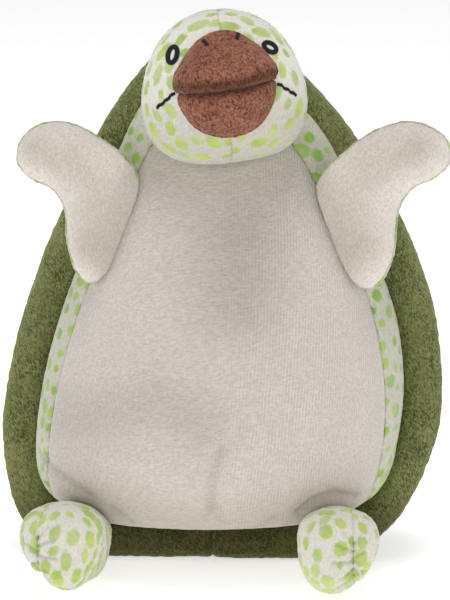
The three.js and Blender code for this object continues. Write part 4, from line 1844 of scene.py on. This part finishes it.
@dataclass
class Face:
    """The embroidery: eyes, nostrils and the corners of the mouth."""

    head: Head
    satin: Satin = Satin()
    eyes: dict[Side, tuple[float, float, float, float]] = field(default_factory=lambda: {
        Side.LEFT: (16.1 * MM, 11.1 * MM, 3.2 * MM, 56.0),
        Side.RIGHT: (-16.6 * MM, 11.6 * MM, 3.7 * MM, -20.0)})
    eye_half_width: float = 2.4 * MM
    ring: float = 1.85 * MM
    nostril_across: float = 5.5 * MM
    nostril_up: float = 14.9 * MM
    nostril_shift: tuple[float, float] = (-0.4 * MM, 0.6 * MM)
    nostril_half: tuple[float, float] = (0.5 * MM, 1.0 * MM)
    corner_across: float = 17.2 * MM
    corner_up: float = -1.6 * MM
    corner_bends: tuple[tuple[float, float], ...] = (
        (0, 0.2), (1.5, -0.2), (2.2, -1.5), (3.5, -1.7), (4.2, -2.9), (5.4, -3.1), (6.2, -4.0))
    line_width: float = 1.4 * MM
    line_steps: int = 40

    def line(self, bm: BMesh, surface: BVHTree, path: Points, seed: int) -> None:
        """Stitches a line of satin along a path on the face plane."""
        hits = [behind(surface, x, z)[0][:] for x, z in evenly(path, self.line_steps)]
        self.satin.run(bm, surface, np.array(hits), self.line_width, seed)

    def oval(self, bm: BMesh, side: Side, inner: bool) -> None:
        """Stitches an eye's black ring, or the white spot inside it.

        Args:
            bm: The mesh that gets the threads.
            side: The eye's side.
            inner: Whether it is the white spot.
        """
        width, height = self.eye_half_width, self.eyes[side][2]
        inner_size = np.array([width - self.ring, height - self.ring])
        if inner:
            count = round(2 * inner_size[1] / self.satin.pitch)
            for rise in np.linspace(-1, 1, count + 2)[1:-1]:
                half = math.sqrt(1 - rise**2)
                ends = [np.array([end * half, rise]) * inner_size for end in (-1, 1)]
                self.across_eye(bm, side, *ends)
            return
        count = round(math.pi * (width + height) / self.satin.pitch)
        for turn in np.arange(count) * 2 * math.pi / count:
            way = np.array([math.cos(turn), math.sin(turn)])
            self.across_eye(bm, side, way * (width, height), way * inner_size)

    def across_eye(self, bm: BMesh, side: Side, start: Points, end: Points) -> None:
        """Stitches one thread between two places of an eye that leans towards the beak.

        Args:
            bm: The mesh that gets the thread.
            side: The eye's side.
            start: Where the thread starts, from the eye's middle.
            end: Where it ends.
        """
        across, up, _, lean = self.eyes[side]
        cos, sin = math.cos(math.radians(lean)), math.sin(math.radians(lean))
        turn, middle = np.array([[cos, -sin], [sin, cos]]), np.array([across, up])
        a, outward = behind(self.head.skin, *(turn @ start + middle))
        b, _ = behind(self.head.skin, *(turn @ end + middle))
        self.satin.stitch(bm, a, b, outward)

    def build(self) -> None:
        """Stitches the whole face."""
        for side in Side:
            ring, spot, corner, hole = (bmesh.new() for _ in range(4))
            self.oval(ring, side, False)
            self.oval(spot, side, True)
            self.corner(corner, side)
            self.nostril(hole, side)
            self.sew(ring, f"eye_ring_sewn_{side.hand}", BLACK_THREAD, f"eye_ring_{side.hand}")
            self.sew(spot, f"eye_spot_sewn_{side.hand}", WHITE_THREAD, f"eye_spot_{side.hand}")
            self.sew(corner, f"mouth_corner_{side.hand}", BLACK_THREAD, f"mouth_stitch_{side.hand}")
            self.sew(hole, f"nostril_{side.hand}", BLACK_THREAD, f"nostril_stitch_{side.hand}")

    def nostril(self, bm: BMesh, side: Side) -> None:
        """Stitches the short line of a nostril.

        Args:
            bm: The mesh that gets the threads.
            side: The nostril's side.
        """
        x = side.value * self.nostril_across + self.nostril_shift[0]
        z = self.nostril_up + side.value * self.nostril_shift[1]
        u, v = side.value * self.nostril_half[0], self.nostril_half[1]
        self.line(bm, self.head.upper, np.array([(x - u, z - v), (x + u, z + v)]), seed=21)

    def corner(self, bm: BMesh, side: Side) -> None:
        """Stitches the line that runs out and down from a corner of the mouth.

        Args:
            bm: The mesh that gets the threads.
            side: The corner's side.
        """
        x, z = side.value * self.corner_across, self.corner_up
        path = np.array([(x + side.value * u * MM, z + v * MM) for u, v in self.corner_bends])
        self.line(bm, self.head.skin, path, seed=31)

    def sew(self, bm: BMesh, name: str, finish: ThreadFinish, node: str) -> None:
        """Makes a piece of embroidery on the head.

        Args:
            bm: The threads.
            name: The piece's name.
            finish: Its thread.
            node: The node that it stands for.
        """
        slot = "white_thread" if finish is WHITE_THREAD else "black_thread"
        piece = self.head.shop.finish(bm, name, self.head.settle, finish, slot, None, [node])
        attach(piece, "head")


# The limbs


# Each flipper's share of the reach, how far it is drawn in, and how far it is let down
FLIPPER_FIT = {Side.LEFT: (1.06, 0.0, 2 * MM), Side.RIGHT: (0.97, 1.8 * MM, 0.0)}
# The share by which each foot's toe is narrowed, and how far it is shifted inwards
FOOT_FIT = {Side.LEFT: (0.25, 2.6 * MM), Side.RIGHT: (0.36, 3.4 * MM)}


@dataclass
class Flipper:
    """A bent padded paddle with a cream front and a spotted back."""

    shop: Workshop
    body: Body
    side: Side
    reach: float = 46 * MM
    span: float = 50 * MM
    half_thickness: float = 6.8 * MM
    pillow: float = 11 * MM
    slab: float = 2.4 * MM
    outline_shares: tuple[tuple[float, float], ...] = (
        (-0.055, 0.24), (-0.045, 0.45), (-0.03, 0.66), (0.02, 0.8), (0.24, 0.92), (0.58, 0.985),
        (0.84, 0.92), (0.98, 0.76), (0.96, 0.59), (0.82, 0.51), (0.61, 0.485), (0.47, 0.38),
        (0.35, 0.17), (0.2, 0.015), (0.06, -0.015), (-0.03, 0.08))
    seam: SeamRoll = SeamRoll(width=1.5 * MM, depth=0.5 * MM, gap=0.02 * MM)
    seam_before: float = 1.3 * MM
    even: Stuffing = Stuffing(voxel=0.9 * MM, reach=0.0, refine=0)
    stuffing: Stuffing = Stuffing(voxel=1.2 * MM, reach=1.0 * MM, pressure=5.0)
    fullness: float = 0.75
    print: SpotPrint = SpotPrint(spacing=6.4 * MM, radius=2.0 * MM, stretch=1.4, seed=17)
    lumps: tuple[Lumps, ...] = (Lumps(12 * MM, 0.45 * MM, 3.0), Lumps(1.4 * MM, 0.3 * MM, 6.0))
    edge_thickness: float = 0.15 * MM
    pucker_depth: float = 0.55 * MM
    bend_before: float = 1 * MM
    bend_after: float = 7 * MM

    def __post_init__(self) -> None:
        """Reads the frame of the flipper's seam."""
        joint = self.shop.joint(f"flipper_{self.side.hand}_flap")
        along = Vector(joint["axis"]).normalized()
        back = Vector((0, 1, 0))
        back = (back - along * back.dot(along)).normalized()
        out = back.cross(along)
        turn = Matrix((out, back, along)).transposed().to_4x4()
        self.frame = Matrix.Translation(Vector(joint["pos_m"])) @ turn
        self.out = out

    def outline(self) -> Points:
        """Gives the paddle's outline in its own plane; the two differ a little, as sewn.

        Returns:
            The outline's points, across and up.
        """
        share, inward, drop = FLIPPER_FIT[self.side]
        controls = [(self.side.value * (share * self.reach * x - inward), self.span * z - drop)
                    for x, z in self.outline_shares]
        return closed_curve(controls, 96)

    def form(self) -> BMesh:
        """Shapes the paddle: a slab whose faces rise with the distance from its edge.

        Returns:
            The closed mesh.
        """
        outline = self.outline()
        flat = [np.stack([outline[:, 0], np.full(len(outline), y), outline[:, 1]], axis=1)
                for y in (-self.slab / 2, self.slab / 2)]
        bm = self.even.fill(stacked(flat))
        points = coords(bm)
        depth = np.maximum(inside_distance(outline, points[:, [0, 2]]), 0.0)
        share = np.clip(depth / self.pillow, 0.0, 1.0)
        rise = self.half_thickness * np.sqrt(1 - (1 - share) ** 2)
        points[:, 1] *= np.maximum(rise, self.edge_thickness) / (self.slab / 2)
        place(bm.verts, points)
        return bm

    def build(self) -> None:
        """Shapes and sews the flipper."""
        whole = self.stuffing.fill(self.form())
        self.pucker(whole)
        for lumps in self.lumps:
            lumps.swell(whole, self.side.value)
        hand = self.side.hand
        front = self.seam.cut(whole, lambda points: -points[:, 1] - self.seam_before)
        back = self.seam.cut(whole, lambda points: points[:, 1] + self.seam_before)
        self.print.mark(back, upright)
        self.dress(front, f"flipper_{hand}_palm", LIT_CREAM_PLUSH, "belly_plush",
                   [f"flipper_{hand}_front", f"flipper_{hand}_stuffing"])
        self.dress(back, f"flipper_{hand}_outside", SHADED_SPOTTED_PLUSH, "spotted_plush",
                   [f"flipper_{hand}_back"])
        whole.free()

    def pucker(self, whole: BMesh) -> None:
        """Presses the fine gathers near the tip and at the lower root, with painted shade in them, and
        paints shade down the middle of the palm and along the root.

        Args:
            whole: The filled flipper.
        """
        s = self.side.value
        # Each line in shares of reach and span, its width in millimetres, its depth share and its painted
        # shade; a depth of 0 is painted shade alone
        lines = [
            (((0.90, 0.80), (0.78, 0.78)), 2.2, 0.9, 0.1),
            (((0.93, 0.74), (0.80, 0.71)), 2.0, 1.0, 0.16),
            (((0.90, 0.67), (0.74, 0.63)), 2.2, 0.8, 0.1),
            (((0.70, 0.70), (0.52, 0.60)), 2.2, 0.5, 0.08),
            (((0.24, 0.16), (0.13, 0.25)), 2.2, 0.7, 0.08),
            (((0.30, 0.22), (0.16, 0.31)), 2.2, 0.6, 0.08),
            (((0.80, 0.74), (0.50, 0.72), (0.24, 0.60), (0.16, 0.25)), 8.0, 0.0, 0.24),
            (((0.0, 0.75), (0.0, 0.2)), 7.0, 0.0, 0.3),
        ]
        y = -self.half_thickness
        creases = [
            Crease(tuple((s * self.reach * x, y, self.span * z) for x, z in line),
                   width * MM, self.pucker_depth * depth, False, shade)
            for line, width, depth, shade in lines
        ]
        press_all(whole, creases)

    def settle(self, points: Points) -> Points:
        """Takes the flipper's points to the part's frame, clear of the trunk."""
        return self.body.clear(moved(points, self.frame))

    def dress(self, bm: BMesh, name: str, finish: PlushFinish, slot: str,
              nodes: Sequence[str]) -> None:
        """Makes a panel of the flipper, which bends where it is sewn to the trunk.

        Args:
            bm: The panel.
            name: The piece's name.
            finish: Its plush.
            slot: The record's material slot.
            nodes: The nodes that it stands for.
        """
        piece = self.shop.finish(bm, name, self.settle, finish, slot, self.fullness, nodes)
        root = self.frame.translation
        way = self.out * self.side.value
        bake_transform(piece, "trunk", f"flipper_{self.side.hand}", start=root - way * self.bend_before,
                 end=root + way * self.bend_after)


@dataclass
class Foot:
    """A round stub with a gathered seam up its toe."""

    shop: Workshop
    body: Body
    side: Side
    form: StuffedForm = StuffedForm(
        rows=((-0.2, 0), (-0.12, 0.62), (0.1, 0.88), (0.4, 0.99), (0.65, 1), (0.85, 0.85),
              (0.97, 0.5), (0.985, 0)),
        bottom=0.0, height=36 * MM, half_width=13.8 * MM, front=18.5 * MM, back=13.4 * MM)
    tilt: float = 9.0
    sole_lift_share: float = 0.2
    slim_from: float = 4 * MM
    slim_over: float = 20 * MM
    toe_from: float = 4 * MM
    toe_over: float = 12 * MM
    seam_out: float = 4.4 * MM
    seam_width: float = 1.8 * MM
    # Painted shade in the seam
    seam_shade: float = 0.1
    gather_depth: float = 0.9 * MM
    ray_width: float = 0.65 * MM
    # Painted shade in the gathers
    ray_shade: float = 0.12
    seam: SeamRoll = SeamRoll(width=1.2 * MM, depth=0.1 * MM, gap=0.0)
    stuffing: Stuffing = Stuffing(voxel=1.1 * MM, reach=0.8 * MM)
    fullness: float = 0.85
    print: SpotPrint = SpotPrint(spacing=5.6 * MM, radius=1.85 * MM, stretch=1.6, seed=23)
    # Painted shade: the feet a little darker all over, and more so down to the sole
    shade: Shade = Shade(share=0.16, top=0.0, over=12 * MM, everywhere=0.12)
    lumps: tuple[Lumps, ...] = (Lumps(10 * MM, 0.45 * MM, 5.0), Lumps(1.3 * MM, 0.3 * MM, 2.0))
    bend_from: float = 2 * MM
    bend_to: float = 16 * MM

    def __post_init__(self) -> None:
        """Reads the frame of the foot's root."""
        joint = self.shop.joint(f"foot_{self.side.hand}_lift")
        turn = math.atan2(joint["axis"][1], joint["axis"][0])
        self.frame = Matrix.Translation(Vector(joint["pos_m"])) @ Matrix.Rotation(turn, 4, "Z")

    def build(self) -> None:
        """Shapes and sews the foot."""
        lying = self.form.build(around=40, rows=30)
        bmesh.ops.rotate(lying, verts=lying.verts, cent=(0, 0, 0),
                         matrix=Matrix.Rotation(math.pi / 2 - math.radians(self.tilt), 3, "X"))
        whole = self.stuffing.fill(lying)
        self.slim(whole)
        self.gather(whole)
        self.shade.lay(whole)
        for lumps in self.lumps:
            lumps.swell(whole, self.side.value)
        for name, facing in (("outer", self.side.value), ("inner", -self.side.value)):
            def in_panel(points: Points, facing: int = facing) -> Points:
                """Measures how far points lie inside the panel."""
                return facing * (points[:, 0] - self.side.value * self.seam_out)

            panel = self.seam.cut(whole, in_panel)
            self.print.mark(panel, upright)
            node = f"foot_{self.side.hand}_{name}"
            nodes = [node] + ([f"foot_{self.side.hand}_stuffing"] if name == "outer" else [])
            piece = self.shop.finish(panel, f"{node}_cover", self.settle, HEAD_PLUSH,
                                     "spotted_plush", self.fullness, nodes)
            self.join(piece)
        whole.free()

    def slim(self, whole: BMesh) -> None:
        """Draws the sole up before the heel, and its sides in and towards the other foot.

        Args:
            whole: The filled foot.
        """
        points = coords(whole)
        low = np.clip((self.slim_from - points[:, 2]) / self.slim_over, -0.5, 1.0)
        ahead = smoothly((-points[:, 1] - self.toe_from) / self.toe_over)
        narrow, shift = FOOT_FIT[self.side]
        inward = self.side.value * shift * np.maximum(low, 0.0) * ahead
        points[:, 0] = points[:, 0] * (1 - narrow * low * ahead) - inward
        points[:, 2] *= 1 - self.sole_lift_share * ahead * (points[:, 2] < 0)
        place(whole.verts, points)

    def gather(self, whole: BMesh) -> None:
        """Presses the gathers that run out from the seam on the toe, and the seam itself, with painted shade
        in them.

        Args:
            whole: The filled foot.
        """
        out, x, z = self.side.value, self.seam_out / MM, 1.0
        # Where each ray starts on the seam, how far it runs in and up in millimetres, and its depth share,
        # which also scales its painted shade
        rays = ((8, 3.6, 3.5, 0.8), (5, 5.8, 2.6, 1.0), (1.6, 7.0, -0.2, 1.1), (-1.5, 4.6, -2.4, 0.8),
                (-3.8, 5.6, -4.4, 1.1), (-6.5, 3.0, -5.0, 0.9), (7, -3.0, 3.5, 0.7), (3, -4.0, 1.9, 0.9),
                (-1, -4.4, -1.9, 1.0), (-5, -3.0, -4.5, 0.9))
        creases = [
            Crease(((out * x * MM, 0.0, (z + rise) * MM),
                    (out * (x - dx) * MM, 0.0, (z + rise + dz) * MM)),
                   self.ray_width, self.gather_depth * depth, True, self.ray_shade * depth)
            for rise, dx, dz, depth in rays
        ]
        seam = ((out * self.seam_out, 0.0, 9 * MM), (out * self.seam_out, 0.0, -7 * MM))
        creases.append(Crease(seam, self.seam_width, self.gather_depth, True, self.seam_shade))
        press_all(whole, creases)

    def settle(self, points: Points) -> Points:
        """Takes the foot's points to the part's frame, clear of the trunk and on the floor.

        Args:
            points: The points.

        Returns:
            The settled points.
        """
        settled = self.body.clear(moved(points, self.frame))
        settled[:, 2] = np.maximum(settled[:, 2], 0.0)
        return settled

    def join(self, piece: Object) -> None:
        """Lets the cloth at the root bend between trunk and foot.

        Args:
            piece: A panel of the foot.
        """
        root = self.frame.translation
        toe = self.frame.to_3x3() @ Vector((0, -1, 0))
        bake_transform(piece, "trunk", f"foot_{self.side.hand}", start=root + toe * self.bend_from,
                 end=root + toe * self.bend_to)


# The studio


def grey(level: float) -> Colour:
    """Gives a grey of a level."""
    return (level, level, level)


@dataclass(frozen=True)
class Lamp:
    """A soft square light that faces the toy."""

    name: str
    at: Triple
    size: float
    power: float
    colour: Colour = WHITE


@dataclass
class Studio:
    """A pale floor, soft light and the camera."""

    azimuth: float = 3.0
    elevation: float = 12.0
    distance: float = 0.9
    lens: float = 150.7
    aim: Triple = (1.0 * MM, 16.6 * MM, 93 * MM)
    lamps: tuple[Lamp, ...] = (
        Lamp("key", (-0.2, -1.5, 0.5), 0.8, 4.4, (1.0, 0.985, 0.965)),
        Lamp("top", (0.0, -0.1, 1.6), 0.9, 11.5, (1.0, 0.995, 0.985)),
        Lamp("left", (-1.3, -0.4, 0.6), 0.9, 4.2),
        Lamp("right", (1.3, -0.4, 0.6), 0.9, 4.6))
    sky_strength: float = 0.245
    floor_size: float = 6.0
    paper_patch: float = 0.2
    paper: Range = (0.90, 0.93)
    paper_rough: float = 0.9
    glow: Range = (0.56, 0.66)
    glow_over: Range = (0.1, 1.0)

    def build(self) -> None:
        """Sets the studio up."""
        self.floor()
        for lamp in self.lamps:
            self.light(lamp)
        self.sky()
        self.camera()
        bpy.context.scene.view_settings.view_transform = "Standard"

    def camera(self) -> None:
        """Puts the camera at the photograph's angle."""
        turn, rise = math.radians(self.azimuth), math.radians(self.elevation)
        back = Vector((math.sin(turn) * math.cos(rise), -math.cos(turn) * math.cos(rise),
                       math.sin(rise)))
        data = bpy.data.cameras.new("camera")
        data.lens = self.lens
        camera = bpy.data.objects.new("camera", data)
        camera.location = Vector(self.aim) + back * self.distance
        camera.rotation_euler = (-back).to_track_quat("-Z", "Y").to_euler()
        bpy.context.scene.collection.objects.link(camera)
        bpy.context.scene.camera = camera

    def light(self, lamp: Lamp) -> None:
        """Hangs a lamp so that it faces the toy.

        Args:
            lamp: The lamp.
        """
        data = bpy.data.lights.new(lamp.name, "AREA")
        data.size, data.energy, data.color = lamp.size, lamp.power, lamp.colour
        hung = bpy.data.objects.new(lamp.name, data)
        hung.location = lamp.at
        way = Vector(self.aim) - Vector(lamp.at)
        hung.rotation_euler = way.to_track_quat("-Z", "Y").to_euler()
        bpy.context.scene.collection.objects.link(hung)

    def sky(self) -> None:
        """Lights the scene evenly from all round."""
        world = bpy.data.worlds.new("studio")
        world.use_nodes = True
        ground = world.node_tree.nodes["Background"]
        ground.inputs[0].default_value = (*WHITE, 1.0)
        ground.inputs[1].default_value = self.sky_strength
        bpy.context.scene.world = world

    def floor(self) -> None:
        """Lays a floor of paper that glows with painted light, the more the further it lies from the toy."""
        bm = bmesh.new()
        bmesh.ops.create_grid(bm, x_segments=8, y_segments=8, size=self.floor_size)
        floor = linked(bm, "floor")
        graph = Graph("paper")
        where = graph.coordinates()
        tone = graph.noise(where, self.paper_patch)
        graph.cloth(graph.blend(tone, *map(grey, self.paper)), self.paper_rough, None, 0.0)
        away = graph.node("ShaderNodeVectorMath", {"operation": "LENGTH"}, where, out=1)
        glow = graph.blend(away.between(*self.glow_over), *map(grey, self.glow))
        paper = graph.output.inputs[0].links[0].from_node
        graph.tree.links.new(glow.socket, paper.inputs["Emission Color"])
        paper.inputs["Emission Strength"].default_value = 1.0
        floor.data.materials.append(graph.material)


# How far the neck's pivot lies beside the trunk's middle line, and behind its front
NECK_SHIFT = 2.5 * MM
NECK_INSET = 9 * MM


def posture_of(frame: dict[str, Any]) -> Posture:
    """Reads where the upright trunk stands from the neck's pivot.

    Args:
        frame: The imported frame.

    Returns:
        The posture with its shift.
    """
    pivot = next(joint for joint in frame["joints"] if joint["name"] == "head_nod")["pos_m"]
    plain = Posture()
    across, back = plain.offsets(np.array([pivot[2]]))
    form = Body.form
    levels = [row[0] for row in form.rows]
    depths = [row[2] for row in form.rows]
    depth = form.front * np.interp((pivot[2] - form.bottom) / form.height, levels, depths)
    return Posture(shift_x=pivot[0] - float(across[0]) - NECK_SHIFT,
                   shift_y=pivot[1] - float(back[0]) - form.middle_y + float(depth) - NECK_INSET)


def main() -> None:
    """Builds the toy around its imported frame."""
    logging.basicConfig(level=logging.INFO, format="%(message)s")
    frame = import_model()
    Studio().build()
    shop = Workshop(frame, posture_of(frame))
    body = Body(shop)
    body.build()
    Shell(shop, body).build()
    head = Head(shop, body)
    head.build()
    Face(head).build()
    for side in Side:
        Flipper(shop, body, side).build()
        Foot(shop, body, side).build()


if __name__ == "__main__":
    main()
